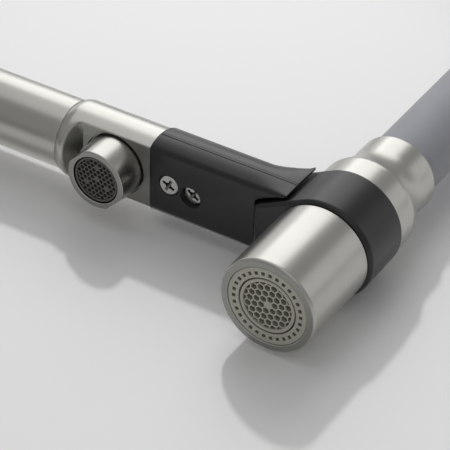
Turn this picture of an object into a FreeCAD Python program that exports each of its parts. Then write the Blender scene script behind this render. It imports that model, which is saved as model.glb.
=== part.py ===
# Kitchen faucet with a flexible spray hose that docks on a side arm.
# Millimetres, +Z up. The origin is on the deck plane at the column's axis, and the arm runs along +X.

import FreeCAD
import Part
import Sketcher

import math
import os
import re

SIZES = {
    # Clearances: running fits, seated pieces, covers that pass each other, and the dock's notch
    "fit_gap": 0.06,
    "seat_gap": 0.1,
    "run_gap": 0.3,
    "dock_gap": 0.6,
    "nose_gap": 0.48,
    # Overall places: spray axis from the column axis, arm axis above the deck, lever axis above the deck
    "reach": 250,
    "arm_height": 255,
    "mixer_height": 66,
    # Deck fixing
    "deck_thickness": 20,
    "flange_r": 28,
    "flange_len": 8,
    "flange_edge": 1.5,
    "gasket_mid_r": 23,
    "gasket_width": 3.6,
    "gasket_len": 2.4,
    "shank_r": 16.5,
    "shank_wall": 3,
    "shank_len": 55,
    "shank_grip": 12,
    "seal_r": 26,
    "seal_len": 3,
    "washer_len": 2,
    "nut_flats": 46,
    "nut_len": 12,
    # Inlets and waterways in the valve body
    "inlet_r": 5,
    "inlet_depth": 12,
    "inlet_edge": 1.2,
    "channel_r": 2.5,
    "cross_r": 2.2,
    "feed_r": 1.8,
    "feed_cross_r": 1.5,
    "mixed_rise": 6,
    # Valve body
    "body_r": 23,
    "body_top": 118,
    "body_neck_r": 17.5,
    "shoulder_len": 7,
    # Swivel
    "spigot_r": 14,
    "spigot_len": 32,
    "socket_floor_gap": 2,
    "spigot_flange": 2,
    "spigot_stub": 10,
    "thrust_len": 1,
    "oring_r": 0.95,
    "groove_width": 2.4,
    "oring_low": 3,
    "screw_groove_at": 8,
    "screw_groove_width": 5,
    "screw_groove_depth": 1.6,
    "oring_mid": 13,
    "filter_groove_at": 17,
    "filter_groove_width": 3,
    "filter_groove_depth": 1.6,
    "filter_port_r": 1,
    "oring_top": 21,
    "set_screw_r": 2,
    # Riser, arm and the tubes inside them
    "riser_r": 15,
    "riser_wall": 2.5,
    "riser_over": 20,
    "boss_r": 13.8,
    "boss_len": 30,
    "arm_r": 12.06,
    "arm_wall": 1.5,
    "water_hose_r": 4.5,
    "water_hose_wall": 1.5,
    "filter_tube_r": 3,
    "filter_tube_wall": 1,
    "filter_offset": 8.5,
    "filter_bend": 12,
    "filter_rise": 3,
    "tube_seat": 12,
    # Collar on the riser and the hose
    "collar_stub": 6,
    "collar_len": 20,
    "collar_straight": 9,
    "collar_taper": 5,
    "collar_end_r": 14.1,
    "hose_r": 12,
    "hose_wall": 3,
    "hose_grip": 8,
    "spring_gap": 0.4,
    "spring_wire": 1.2,
    "nipple_r": 7.9,
    "nipple_stub": 12,
    "nipple_flange": 4,
    "nipple_bore_r": 2.2,
    "barb_len": 10,
    # Arm end and filtered-water outlet: distances back from the spray axis, heights from the arm axis
    "seam_back": 98.4,
    "outlet_back": 78.6,
    "bracket_back": 65,
    "arm_end_r": 13.3,
    "swell_len": 3.6,
    "swell_step": 1.2,
    "end_spigot": 15,
    "flat_drop": 6.4,
    "scallop_r": 16.4,
    "tongue_r": 11.4,
    "tongue_len": 25,
    "tongue_drop": 2.5,
    "outlet_r": 10.6,
    "outlet_len": 11.15,
    "outlet_flats": 19.4,
    "outlet_flats_len": 6,
    "outlet_recess": 1.5,
    "outlet_recess_gap": 0.4,
    "outlet_thread_r": 8.5,
    "outlet_thread_len": 4.3,
    "outlet_bore_depth": 8,
    "outlet_passage_r": 5,
    "outlet_seal_len": 1,
    "insert_r": 8.39,
    "insert_rim": 0.75,
    "insert_len": 3,
    "insert_recess": 0.4,
    "insert_pitch": 1.7,
    "insert_web": 0.45,
    # Dock bracket
    "bracket_r": 13.85,
    "bracket_drop": 6.8,
    "bracket_flare_start": 28,
    "bracket_flare_end": 14.6,
    "bracket_tip": 14.1,
    "bracket_half": 13.7,
    "bracket_top": 10.9,
    "bracket_sole": 7.8,
    "bracket_round_end": 20,
    "flare_half": 8.4,
    "dock_screw_first": 57.5,
    "dock_screw_second": 49.5,
    "dock_screw_aside": 1.7,
    "dock_screw_sunk": 2,
    "screw_head_r": 3.3,
    "screw_head_len": 1.5,
    "screw_shank_r": 1.5,
    "screw_shank_len": 9,
    "screw_slot_len": 3.6,
    "screw_slot_width": 0.8,
    "screw_slot_depth": 1,
    "dock_magnet_r": 4.5,
    "dock_magnet_len": 5,
    "magnet_wall": 1.9,
    # Spray head: heights above its face
    "dock_drop": 42.3,
    "barrel_r": 16.5,
    "barrel_wall": 1.3,
    "barrel_len": 32.6,
    "barrel_edge": 1.2,
    "lip_r": 13.75,
    "lip_len": 1.6,
    "face_recess": 0.15,
    "plate_gap": 0.2,
    "plate_len": 3,
    "jet_count": 30,
    "jet_mid_r": 11.6,
    "jet_size": 0.95,
    "honey_r": 9.7,
    "honey_rim": 1.3,
    "honey_recess": 0.6,
    "honey_pitch": 2.4,
    "honey_web": 0.3,
    "diverter_len": 3,
    "diverter_hole_r": 4,
    "port_count": 8,
    "port_mid_r": 11.6,
    "port_r": 1.4,
    "core_gap": 0.6,
    "core_bore_r": 10,
    "core_seal_at": 20,
    "core_chamber_top": 50,
    "core_web": 6,
    "core_shoulder": 60,
    "core_boss_wall": 2.4,
    "core_boss_top": 69,
    "ring_r": 17.6,
    "ring_len": 19.9,
    "nose_x": 24.8,
    "nose_half": 7,
    "ring_magnet_thick": 5,
    "ring_magnet_width": 8,
    "ring_magnet_len": 12,
    "ring_magnet_wall": 1.8,
    "neck_r": 16.9,
    "neck_straight": 10,
    "neck_curve": 9.5,
    "neck_end_r": 14,
    "neck_top": 82.3,
    # Mixer: distances out from the column axis
    "mixer_barrel_r": 17,
    "pivot_out": 38,
    "cartridge_floor": 7,
    "cartridge_seal_len": 1.5,
    "seal_port_r": 2.2,
    "cartridge_r": 12.5,
    "cartridge_neck_r": 9.5,
    "cartridge_neck_over": 4,
    "cartridge_cavity_r": 7.6,
    "cartridge_cavity_depth": 16,
    "cartridge_nut_r": 14,
    "cartridge_nut_len": 7,
    "nut_recess": 8,
    "dome_wall": 2,
    "dome_hole_r": 11,
    "dome_gap": 0.5,
    "rotor_slot": 7,
    "rotor_slot_depth": 7,
    "pivot_pin_r": 1.25,
    "stem_r": 3.1,
    "stem_inside": 5,
    "hub_r": 16.2,
    "hub_out": 25,
    "hub_edge": 1.5,
    "hub_cover": 3,
    "lever_line": 20.8,
    "lever_r": 3.5,
    "lever_len": 62,
    "lever_seat": 8,
    "plug_len": 2,
    # Filtered-water valve: distances out from the column axis
    "filter_barrel_r": 13,
    "filter_barrel_out": 34,
    "filter_floor": 9,
    "filter_valve_r": 9,
    "filter_spindle_r": 4,
    "filter_spindle_seat": 6,
    "filter_collar_len": 2,
    "filter_hub_r": 12.5,
    "filter_hub_len": 14,
    "filter_hub_cover": 2,
    "filter_lever_r": 3,
    "filter_lever_len": 45,
    "filter_lever_seat": 6,
    "filter_screw_r": 1.5,
}

doc = FreeCAD.newDocument("flexible_faucet")
sheet = doc.addObject("Spreadsheet::Sheet", "Sizes")
for row, (alias, value) in enumerate(SIZES.items(), start=1):
    sheet.set(f"A{row}", alias)
    sheet.set(f"B{row}", str(value))
    sheet.setAlias(f"B{row}", alias)
doc.recompute()

# Working places, written as sums of the sheet's sizes
inlet_offset = "(shank_r - shank_wall - inlet_edge - inlet_r)"
shank_seat = "(flange_len + shank_grip)"
spigot_base = "(body_top - spigot_len)"
riser_base = "(body_top + thrust_len + spigot_flange)"
riser_top = "(arm_height + riser_over)"
riser_bore = "(riser_r - riser_wall)"
hose_floor = "(arm_height + riser_over + collar_len - hose_grip)"
seam_x = "(reach - seam_back)"
outlet_x = "(reach - outlet_back)"
bracket_x = "(reach - bracket_back)"
face_z = "(arm_height - dock_drop)"
ring_base = "(barrel_len + run_gap)"
neck_base = "(barrel_len + run_gap + ring_len + seat_gap)"
neck_floor = "(neck_top - hose_grip)"
barrel_bore = "(barrel_r - barrel_wall)"
core_r = "(barrel_r - barrel_wall - fit_gap)"
plate_top = "(lip_len + plate_len)"
diverter_top = "(lip_len + plate_len + diverter_len)"

# Turns that lay a piece's own Z along another axis
UPRIGHT = FreeCAD.Rotation()
ALONG_X = FreeCAD.Rotation(FreeCAD.Vector(0, 1, 0), 90)
ALONG_Y = FreeCAD.Rotation(FreeCAD.Vector(1, 0, 0), -90)
AGAINST_Y = FreeCAD.Rotation(FreeCAD.Vector(1, 0, 0), 90)
HALF_TURN = FreeCAD.Rotation(FreeCAD.Vector(0, 0, 1), 180)
EIGHTH_TURN = FreeCAD.Rotation(FreeCAD.Vector(0, 0, 1), 45)

# Largest difference allowed between a swept tube's volume and its section times its length
VOLUME_SLACK = 0.01

pieces = []


def bound(text):
    """An expression with each size looked up in the sheet."""
    return re.sub(r"[a-z_]+", lambda word: f"Sizes.{word[0]}" if word[0] in SIZES else word[0], text)


def number(text):
    """The value of an expression at the sheet's present sizes."""
    return float(sheet.evalExpression(bound(text)))


def settle(thing, at=("0", "0", "0"), turn=UPRIGHT):
    """Place a thing, with each coordinate tied to the sheet."""
    thing.Placement = FreeCAD.Placement(FreeCAD.Vector(*[number(text) for text in at]), turn)
    for axis, text in zip("xyz", at):
        thing.setExpression(f"Placement.Base.{axis}", bound(text))
    return thing


def shaped(kind, name, at, turn, **links):
    """A primitive solid whose sizes are tied to the sheet."""
    thing = doc.addObject(kind, name)
    for size, text in links.items():
        thing.setExpression(size, bound(text))
    return settle(thing, at, turn)


def rod(name, radius, length, at=("0", "0", "0"), turn=UPRIGHT):
    return shaped("Part::Cylinder", name, at, turn, Radius=radius, Height=length)


def block(name, size, at=("0", "0", "0"), turn=UPRIGHT):
    return shaped("Part::Box", name, at, turn, Length=size[0], Width=size[1], Height=size[2])


def ball(name, radius, at):
    return shaped("Part::Sphere", name, at, UPRIGHT, Radius=radius)


def hoop(name, mid_radius, wire, at):
    return shaped("Part::Torus", name, at, UPRIGHT, Radius1=mid_radius, Radius2=wire)


def joined(name, *things):
    whole = doc.addObject("Part::MultiFuse", name)
    whole.Shapes = list(things)
    return whole


def grouped(name, *things):
    whole = doc.addObject("Part::Compound", name)
    whole.Links = list(things)
    return whole


def cut(name, base, *tools):
    result = doc.addObject("Part::Cut", name)
    result.Base = base
    result.Tool = tools[0] if len(tools) == 1 else joined(f"{name}_tools", *tools)
    return result


def piece(thing):
    pieces.append(thing)
    return thing


def new_sketch(body, role, name):
    """A sketch on one of a body's own origin planes."""
    sketch = body.newObject("Sketcher::SketchObject", name)
    plane = next(feature for feature in body.Origin.OriginFeatures if feature.Role == role)
    sketch.AttachmentSupport = (plane, "")
    sketch.MapMode = "FlatFace"
    return sketch


def hold(sketch, edge, end, across, up):
    """Tie one end of a sketch edge to its two coordinates, or to the axis where one is nought."""
    for kind, axis, text in (("DistanceX", -2, across), ("DistanceY", -1, up)):
        if text == "0":
            sketch.addConstraint(Sketcher.Constraint("PointOnObject", edge, end, axis))
        else:
            index = sketch.addConstraint(Sketcher.Constraint(kind, -1, 1, edge, end, number(text)))
            sketch.setExpression(f"Constraints[{index}]", bound(text))


def draw_outline(sketch, points):
    """A closed outline of straight edges."""
    corners = [FreeCAD.Vector(number(across), number(up), 0) for across, up in points]
    count = len(corners)
    for edge in range(count):
        sketch.addGeometry(Part.LineSegment(corners[edge], corners[(edge + 1) % count]), False)
    for edge in range(count):
        sketch.addConstraint(Sketcher.Constraint("Coincident", edge, 2, (edge + 1) % count, 1))
    for edge, (across, up) in enumerate(points):
        hold(sketch, edge, 1, across, up)


def turned(name, points, at=("0", "0", "0"), turn=UPRIGHT):
    """A lathe-turned body: an outline of radius and height pairs revolved about its own Z."""
    body = doc.addObject("PartDesign::Body", name)
    sketch = new_sketch(body, "XZ_Plane", f"{name}_outline")
    draw_outline(sketch, points)
    feature = body.newObject("PartDesign::Revolution", f"{name}_turning")
    feature.Profile = sketch
    feature.ReferenceAxis = (sketch, ["V_Axis"])
    feature.Angle = 360
    return settle(body, at, turn)


def ring(name, inner, outer, length, at=("0", "0", "0"), turn=UPRIGHT):
    points = [(inner, "0"), (outer, "0"), (outer, length), (inner, length)]
    return turned(name, points, at, turn)


def groove(radius, middle, width, depth):
    """Outline points of a square groove, from its lower edge up."""
    low = f"{middle} - {width} / 2"
    high = f"{middle} + {width} / 2"
    floor = f"{radius} - {depth}"
    return [(radius, low), (floor, low), (floor, high), (radius, high)]


def punched(body, mid_radius, count, depth, draw):
    """Cut one small hole up through a turned body and repeat it round the axis."""
    doc.recompute()
    before = body.Shape.Volume
    sketch = new_sketch(body, "XY_Plane", f"{body.Name}_hole")
    draw(sketch, mid_radius)
    hole = body.newObject("PartDesign::Pocket", f"{body.Name}_pocket")
    hole.Profile = sketch
    hole.Reversed = True
    hole.setExpression("Length", bound(depth))
    pattern = body.newObject("PartDesign::PolarPattern", f"{body.Name}_pattern")
    pattern.Originals = [hole]
    pattern.Axis = (sketch, ["N_Axis"])
    pattern.Angle = 360
    pattern.setExpression("Occurrences", bound(count))
    body.Tip = pattern
    doc.recompute()
    if body.Shape.Volume >= before:
        raise RuntimeError(f"{body.Label}: the holes cut nothing")
    return body


def square_hole(sketch, mid_radius):
    low = f"({mid_radius} - jet_size / 2)"
    high = f"({mid_radius} + jet_size / 2)"
    half = number("jet_size / 2")
    corners = [(number(low), -half), (number(high), -half), (number(high), half), (number(low), half)]
    for edge in range(4):
        start = FreeCAD.Vector(*corners[edge], 0)
        end = FreeCAD.Vector(*corners[(edge + 1) % 4], 0)
        sketch.addGeometry(Part.LineSegment(start, end), False)
    for edge in range(4):
        sketch.addConstraint(Sketcher.Constraint("Coincident", edge, 2, (edge + 1) % 4, 1))
    hold(sketch, 2, 1, high, "jet_size / 2")
    hold(sketch, 3, 1, low, "jet_size / 2")
    sketch.addConstraint(Sketcher.Constraint("Symmetric", 1, 1, 1, 2, -1))
    sketch.addConstraint(Sketcher.Constraint("Symmetric", 3, 1, 3, 2, -1))


def round_hole(sketch, mid_radius):
    centre = FreeCAD.Vector(number(mid_radius), 0, 0)
    sketch.addGeometry(Part.Circle(centre, FreeCAD.Vector(0, 0, 1), number("port_r")), False)
    index = sketch.addConstraint(Sketcher.Constraint("Radius", 0, number("port_r")))
    sketch.setExpression(f"Constraints[{index}]", bound("port_r"))
    hold(sketch, 0, 3, mid_radius, "0")


def teardrop(name, round_r, nose_x, nose_half, length, at=("0", "0", "0"), turn=UPRIGHT):
    """A round body whose flanks run tangent to a flat nose on its own +X side."""
    body = doc.addObject("PartDesign::Body", name)
    sketch = new_sketch(body, "XY_Plane", f"{name}_outline")
    radius, across, half = number(round_r), number(nose_x), number(nose_half)
    touch = math.atan2(half, across) + math.acos(radius / math.hypot(across, half))
    top = FreeCAD.Vector(radius * math.cos(touch), radius * math.sin(touch), 0)
    bottom = FreeCAD.Vector(top.x, -top.y, 0)
    circle = Part.Circle(FreeCAD.Vector(), FreeCAD.Vector(0, 0, 1), radius)
    sketch.addGeometry(Part.ArcOfCircle(circle, touch, 2 * math.pi - touch), False)
    sketch.addGeometry(Part.LineSegment(bottom, FreeCAD.Vector(across, -half, 0)), False)
    sketch.addGeometry(
        Part.LineSegment(FreeCAD.Vector(across, -half, 0), FreeCAD.Vector(across, half, 0)), False
    )
    sketch.addGeometry(Part.LineSegment(FreeCAD.Vector(across, half, 0), top), False)
    sketch.addConstraint(Sketcher.Constraint("Coincident", 0, 3, -1, 1))
    index = sketch.addConstraint(Sketcher.Constraint("Radius", 0, radius))
    sketch.setExpression(f"Constraints[{index}]", bound(round_r))
    sketch.addConstraint(Sketcher.Constraint("Tangent", 0, 2, 1, 1))
    sketch.addConstraint(Sketcher.Constraint("Coincident", 1, 2, 2, 1))
    sketch.addConstraint(Sketcher.Constraint("Coincident", 2, 2, 3, 1))
    sketch.addConstraint(Sketcher.Constraint("Tangent", 3, 2, 0, 1))
    hold(sketch, 2, 2, nose_x, nose_half)
    sketch.addConstraint(Sketcher.Constraint("Symmetric", 2, 1, 2, 2, -1))
    feature = body.newObject("PartDesign::Pad", f"{name}_pad")
    feature.Profile = sketch
    feature.setExpression("Length", bound(length))
    return settle(body, at, turn)


def swept_tube(path, outer, bore):
    """A tube along a wire, checked against its section times its length."""
    start = path.Edges[0].valueAt(path.Edges[0].FirstParameter)
    along = path.Edges[0].tangentAt(path.Edges[0].FirstParameter)
    solids = []
    for radius in (outer, bore):
        section = Part.Wire(Part.makeCircle(radius, start, along))
        solids.append(path.makePipeShell([section], True, False))
    tube = solids[0].cut(solids[1])
    expected = math.pi * (outer**2 - bore**2) * path.Length
    if abs(tube.Volume / expected - 1) > VOLUME_SLACK:
        raise RuntimeError("a swept tube has the wrong volume")
    return tube


def own_shape(name, shape, at=("0", "0", "0"), turn=UPRIGHT):
    """A piece with a shape of its own, placed after its shape is set."""
    thing = doc.addObject("Part::Feature", name)
    thing.Shape = shape
    return settle(thing, at, turn)


def cell_screen(radius, rim, length, recess, pitch, web, filled):
    """A round insert: a rim about a sunken screen of six-sided cells, some of them filled."""
    inner = radius - rim
    upward = FreeCAD.Vector(0, 0, 1)
    outer_disc = Part.makeCylinder(radius, length)
    field = Part.makeCylinder(inner, length)
    frame = outer_disc.cut(field)
    screen = Part.makeCylinder(inner, length - recess, FreeCAD.Vector(0, 0, recess))
    side = (pitch - web) / math.sqrt(3)
    rows = math.ceil(inner / pitch) + 1
    cells = []
    for row_number in range(-rows, rows + 1):
        for column in range(-2 * rows, 2 * rows + 1):
            across = pitch * (column + row_number / 2)
            up = pitch * row_number * math.sqrt(3) / 2
            if math.hypot(across, up) > inner - web or (column, row_number) in filled:
                continue
            middle = FreeCAD.Vector(across, up, 0)
            corners = []
            for corner in range(7):
                angle = math.radians(60 * corner + 30)
                corners.append(middle + FreeCAD.Vector(side * math.cos(angle), side * math.sin(angle), 0))
            cells.append(Part.Face(Part.makePolygon(corners)).extrude(upward * length))
    return frame.fuse(screen.cut(Part.makeCompound(cells))).removeSplitter()


# Deck fixing: flange and gasket above the deck, threaded shank through it, seal, washer and nut below
flange_inner = "shank_r + seat_gap"
gasket_inner = "gasket_mid_r - gasket_width / 2"
gasket_outer = "gasket_mid_r + gasket_width / 2"
gasket_depth = "gasket_len + seat_gap"
piece(turned("base_flange", [
    (flange_inner, "0"),
    (f"{gasket_inner} - seat_gap", "0"),
    (f"{gasket_inner} - seat_gap", gasket_depth),
    (f"{gasket_outer} + seat_gap", gasket_depth),
    (f"{gasket_outer} + seat_gap", "0"),
    ("flange_r", "0"),
    ("flange_r", "flange_len - flange_edge"),
    ("flange_r - flange_edge", "flange_len"),
    (flange_inner, "flange_len"),
]))
piece(ring("deck_gasket", gasket_inner, gasket_outer, "gasket_len"))
piece(ring(
    "mounting_shank", "shank_r - shank_wall", "shank_r", f"shank_len + {shank_seat}",
    at=("0", "0", "-shank_len"),
))
piece(ring(
    "under_deck_seal", flange_inner, "seal_r", "seal_len",
    at=("0", "0", "-deck_thickness - seal_len"),
))
piece(ring(
    "deck_washer", flange_inner, "seal_r", "washer_len",
    at=("0", "0", "-deck_thickness - seal_len - washer_len"),
))
nut_base = "-deck_thickness - seal_len - washer_len - nut_len"
nut_blank = shaped(
    "Part::Prism", "nut_blank", ("0", "0", nut_base), UPRIGHT,
    Circumradius="nut_flats / 2 / cos(30)", Height="nut_len",
)
nut_bore = rod("nut_bore", "shank_r + fit_gap", "nut_len", at=("0", "0", nut_base))
piece(cut("lock_nut", nut_blank, nut_bore))

# Valve body: a column casting with the mixer barrel on its +Y side and the filter barrel on its -Y side
body_core = turned("body_core", [
    ("0", "flange_len"),
    ("body_r", "flange_len"),
    ("body_r", "body_top - shoulder_len"),
    ("body_neck_r", "body_top"),
    ("0", "body_top"),
])
mixer_barrel = rod(
    "mixer_barrel", "mixer_barrel_r", "pivot_out", at=("0", "0", "mixer_height"), turn=ALONG_Y
)
filter_barrel = rod(
    "filter_barrel", "filter_barrel_r", "filter_barrel_out", at=("0", "0", "mixer_height"), turn=AGAINST_Y
)
body_cuts = [
    rod("shank_socket", "shank_r + fit_gap", "shank_grip", at=("0", "0", "flange_len")),
    rod(
        "spigot_socket", "spigot_r + fit_gap", "spigot_len + socket_floor_gap",
        at=("0", "0", f"{spigot_base} - socket_floor_gap"),
    ),
    rod(
        "cartridge_bore", "cartridge_r + seat_gap", "pivot_out - cartridge_floor",
        at=("0", "cartridge_floor", "mixer_height"), turn=ALONG_Y,
    ),
    rod(
        "cartridge_nut_bore", "cartridge_nut_r + fit_gap", "nut_recess",
        at=("0", "pivot_out - nut_recess", "mixer_height"), turn=ALONG_Y,
    ),
    rod(
        "filter_bore", "filter_valve_r + seat_gap", "filter_barrel_out - filter_floor",
        at=("0", "-filter_floor", "mixer_height"), turn=AGAINST_Y,
    ),
    rod(
        "retainer_hole", "set_screw_r + fit_gap", "body_r",
        at=("-body_r", "0", f"{spigot_base} + screw_groove_at"), turn=ALONG_X,
    ),
    rod(
        "mixed_rise_way", "channel_r", f"{spigot_base} - mixer_height - mixed_rise",
        at=("0", "0", "mixer_height + mixed_rise"),
    ),
    rod(
        "mixed_cross_way", "cross_r", "cartridge_floor",
        at=("0", "0", "mixer_height + mixed_rise"), turn=ALONG_Y,
    ),
    rod(
        "filter_feed_way", "feed_r", f"{spigot_base} + filter_groove_at + feed_r - mixer_height",
        at=("0", "-(spigot_r + body_r) / 2", "mixer_height"),
    ),
    rod(
        "filter_cross_way", "feed_cross_r", "(spigot_r + body_r) / 2",
        at=("0", "0", f"{spigot_base} + filter_groove_at"), turn=AGAINST_Y,
    ),
]
inlet_places = {
    "hot": (f"{inlet_offset} * cos(30)", f"{inlet_offset} * sin(30)"),
    "cold": (f"-{inlet_offset} * cos(30)", f"{inlet_offset} * sin(30)"),
    "filter": ("0", f"-{inlet_offset}"),
}
for inlet, (across, along) in inlet_places.items():
    body_cuts.append(rod(f"{inlet}_inlet", "inlet_r", "inlet_depth", at=(across, along, shank_seat)))
    body_cuts.append(rod(
        f"{inlet}_way", "channel_r", f"mixer_height - {shank_seat}", at=(across, along, shank_seat)
    ))
for inlet in ("hot", "cold"):
    across, along = inlet_places[inlet]
    body_cuts.append(rod(
        f"{inlet}_cross_way", "cross_r", f"cartridge_floor - {along}",
        at=(across, along, "mixer_height"), turn=ALONG_Y,
    ))
piece(cut("valve_body", joined("body_casting", body_core, mixer_barrel, filter_barrel), *body_cuts))

# Mixer: seal and cartridge in the barrel, held by a ring nut under a domed cover
cartridge_base = "(cartridge_floor + cartridge_seal_len)"
neck_from = "(pivot_out - nut_recess)"
seal_blank = rod(
    "cartridge_seal_blank", "cartridge_r", "cartridge_seal_len",
    at=("0", "cartridge_floor", "mixer_height"), turn=ALONG_Y,
)
seal_places = {
    "hot": (inlet_places["hot"][0], "mixer_height"),
    "cold": (inlet_places["cold"][0], "mixer_height"),
    "mixed": ("0", "mixer_height + mixed_rise"),
}
seal_ports = []
for port, (across, up) in seal_places.items():
    seal_ports.append(rod(
        f"seal_{port}_port", "seal_port_r", "cartridge_seal_len",
        at=(across, "cartridge_floor", up), turn=ALONG_Y,
    ))
piece(cut("cartridge_seal", seal_blank, *seal_ports))
cartridge_shoulder = f"{neck_from} - {cartridge_base}"
cartridge_top = f"pivot_out + cartridge_neck_over - {cartridge_base}"
cavity_floor = f"{cartridge_top} - cartridge_cavity_depth"
piece(turned("mixer_cartridge", [
    ("0", "0"),
    ("cartridge_r", "0"),
    ("cartridge_r", cartridge_shoulder),
    ("cartridge_neck_r", cartridge_shoulder),
    ("cartridge_neck_r", cartridge_top),
    ("cartridge_cavity_r", cartridge_top),
    ("cartridge_cavity_r", cavity_floor),
    ("0", cavity_floor),
], at=("0", cartridge_base, "mixer_height"), turn=ALONG_Y))
piece(ring(
    "cartridge_nut", "cartridge_neck_r + seat_gap", "cartridge_nut_r", "cartridge_nut_len",
    at=("0", neck_from, "mixer_height"), turn=ALONG_Y,
))
pivot = ("0", "pivot_out", "mixer_height")
dome_half = block(
    "dome_half", ("2 * mixer_barrel_r", "mixer_barrel_r", "2 * mixer_barrel_r"),
    at=("-mixer_barrel_r", "pivot_out - mixer_barrel_r", "mixer_height - mixer_barrel_r"),
)
piece(cut(
    "mixer_dome",
    ball("dome_outside", "mixer_barrel_r", pivot),
    ball("dome_inside", "mixer_barrel_r - dome_wall", pivot),
    dome_half,
    rod("dome_hole", "dome_hole_r", "mixer_barrel_r", at=pivot, turn=ALONG_Y),
))

# Rotor that turns in the cartridge, with a slot and pin for the tilting stem
rotor_base = "(pivot_out + cartridge_neck_over - cartridge_cavity_depth + run_gap)"
rotor_r = "(cartridge_cavity_r - run_gap)"
rotor_len = "(cartridge_cavity_depth - run_gap)"
rotor_blank = rod(
    "rotor_blank", rotor_r, rotor_len, at=("0", rotor_base, "mixer_height"), turn=ALONG_Y
)
rotor_slot = block(
    "rotor_slot_cut", ("rotor_slot", "rotor_slot_depth + cartridge_neck_over", f"2 * {rotor_r}"),
    at=("-rotor_slot / 2", "pivot_out - rotor_slot_depth", f"mixer_height - {rotor_r}"),
)
pin_hole = rod(
    "rotor_pin_hole", "pivot_pin_r + fit_gap", f"2 * {rotor_r}",
    at=(f"-{rotor_r}", "pivot_out", "mixer_height"), turn=ALONG_X,
)
piece(cut("cartridge_rotor", rotor_blank, rotor_slot, pin_hole))
pin_half = f"({rotor_r} - run_gap)"
piece(rod(
    "pivot_pin", "pivot_pin_r", f"2 * {pin_half}",
    at=(f"-{pin_half}", "pivot_out", "mixer_height"), turn=ALONG_X,
))

# Mixer lever: stem, hub with a hollow that slides over the dome, lever rod, grub screw and plug
stem_len = "stem_inside + hub_out - hub_cover"
stem_blank = rod(
    "stem_blank", "stem_r", stem_len, at=("0", "pivot_out - stem_inside", "mixer_height"), turn=ALONG_Y
)
stem_hole = rod(
    "stem_hole", "pivot_pin_r + fit_gap", "2 * stem_r",
    at=("-stem_r", "pivot_out", "mixer_height"), turn=ALONG_X,
)
piece(cut("cartridge_stem", stem_blank, stem_hole))
hub_blank = turned("hub_blank", [
    ("0", "0"),
    ("hub_r", "0"),
    ("hub_r", "hub_out - hub_edge"),
    ("hub_r - hub_edge", "hub_out"),
    ("0", "hub_out"),
], at=pivot, turn=ALONG_Y)
lever_y = "pivot_out + lever_line"
lever_base = "mixer_height + lever_seat"
piece(cut(
    "mixer_hub",
    hub_blank,
    ball("hub_hollow", "mixer_barrel_r + dome_gap", pivot),
    rod("hub_stem_hole", "stem_r + fit_gap", "hub_out - hub_cover + fit_gap", at=pivot, turn=ALONG_Y),
    rod("hub_lever_hole", "lever_r + fit_gap", "hub_r", at=("0", lever_y, f"{lever_base} - fit_gap")),
    rod("hub_screw_hole", "set_screw_r + fit_gap", "hub_r", at=("0", lever_y, "mixer_height - hub_r")),
))
piece(turned("mixer_lever", [
    ("0", "0"),
    ("lever_r", "0"),
    ("lever_r", "hub_r - lever_seat + lever_len - lever_r / 2"),
    ("lever_r / 2", "hub_r - lever_seat + lever_len"),
    ("0", "hub_r - lever_seat + lever_len"),
], at=("0", lever_y, lever_base)))
piece(rod(
    "lever_grub_screw", "set_screw_r", "hub_r - stem_r - plug_len - 2 * seat_gap",
    at=("0", lever_y, "mixer_height - hub_r + plug_len + seat_gap"),
))
piece(rod("lever_plug", "set_screw_r", "plug_len", at=("0", lever_y, "mixer_height - hub_r")))

# Filtered-water valve: quarter-turn headpart, trim collar, spindle, hub, lever rod and grub screw
piece(turned("filter_valve", [
    ("0", "0"),
    ("filter_valve_r", "0"),
    ("filter_valve_r", "filter_barrel_out - filter_floor"),
    ("filter_spindle_r + fit_gap", "filter_barrel_out - filter_floor"),
    ("filter_spindle_r + fit_gap", "filter_spindle_seat"),
    ("0", "filter_spindle_seat"),
], at=("0", "-filter_floor", "mixer_height"), turn=AGAINST_Y))
piece(ring(
    "filter_collar", "filter_spindle_r + run_gap", "filter_barrel_r", "filter_collar_len",
    at=("0", "-filter_barrel_out", "mixer_height"), turn=AGAINST_Y,
))
spindle_in = "(filter_floor + filter_spindle_seat + run_gap)"
filter_hub_in = "(filter_barrel_out + filter_collar_len + run_gap)"
spindle_end = f"({filter_hub_in} + filter_hub_len - filter_hub_cover)"
piece(rod(
    "filter_spindle", "filter_spindle_r", f"{spindle_end} - {spindle_in}",
    at=("0", f"-{spindle_in}", "mixer_height"), turn=AGAINST_Y,
))
filter_line = f"-{filter_hub_in} - filter_hub_len / 2"
filter_lever_base = "mixer_height + filter_lever_seat"
piece(cut(
    "filter_hub",
    rod(
        "filter_hub_blank", "filter_hub_r", "filter_hub_len",
        at=("0", f"-{filter_hub_in}", "mixer_height"), turn=AGAINST_Y,
    ),
    rod(
        "filter_hub_bore", "filter_spindle_r + fit_gap", "filter_hub_len - filter_hub_cover + fit_gap",
        at=("0", f"-{filter_hub_in}", "mixer_height"), turn=AGAINST_Y,
    ),
    rod(
        "filter_lever_hole", "filter_lever_r + fit_gap", "filter_hub_r",
        at=("0", filter_line, f"{filter_lever_base} - fit_gap"),
    ),
    rod(
        "filter_screw_hole", "filter_screw_r + fit_gap", "filter_hub_r",
        at=("0", filter_line, "mixer_height - filter_hub_r"),
    ),
))
piece(turned("filter_lever", [
    ("0", "0"),
    ("filter_lever_r", "0"),
    ("filter_lever_r", "filter_hub_r - filter_lever_seat + filter_lever_len - filter_lever_r / 2"),
    ("filter_lever_r / 2", "filter_hub_r - filter_lever_seat + filter_lever_len"),
    ("0", "filter_hub_r - filter_lever_seat + filter_lever_len"),
], at=("0", filter_line, filter_lever_base)))
piece(rod(
    "filter_grub_screw", "filter_screw_r", "filter_hub_r - filter_spindle_r - 2 * run_gap",
    at=("0", filter_line, "mixer_height - filter_hub_r + run_gap"),
))

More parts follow.
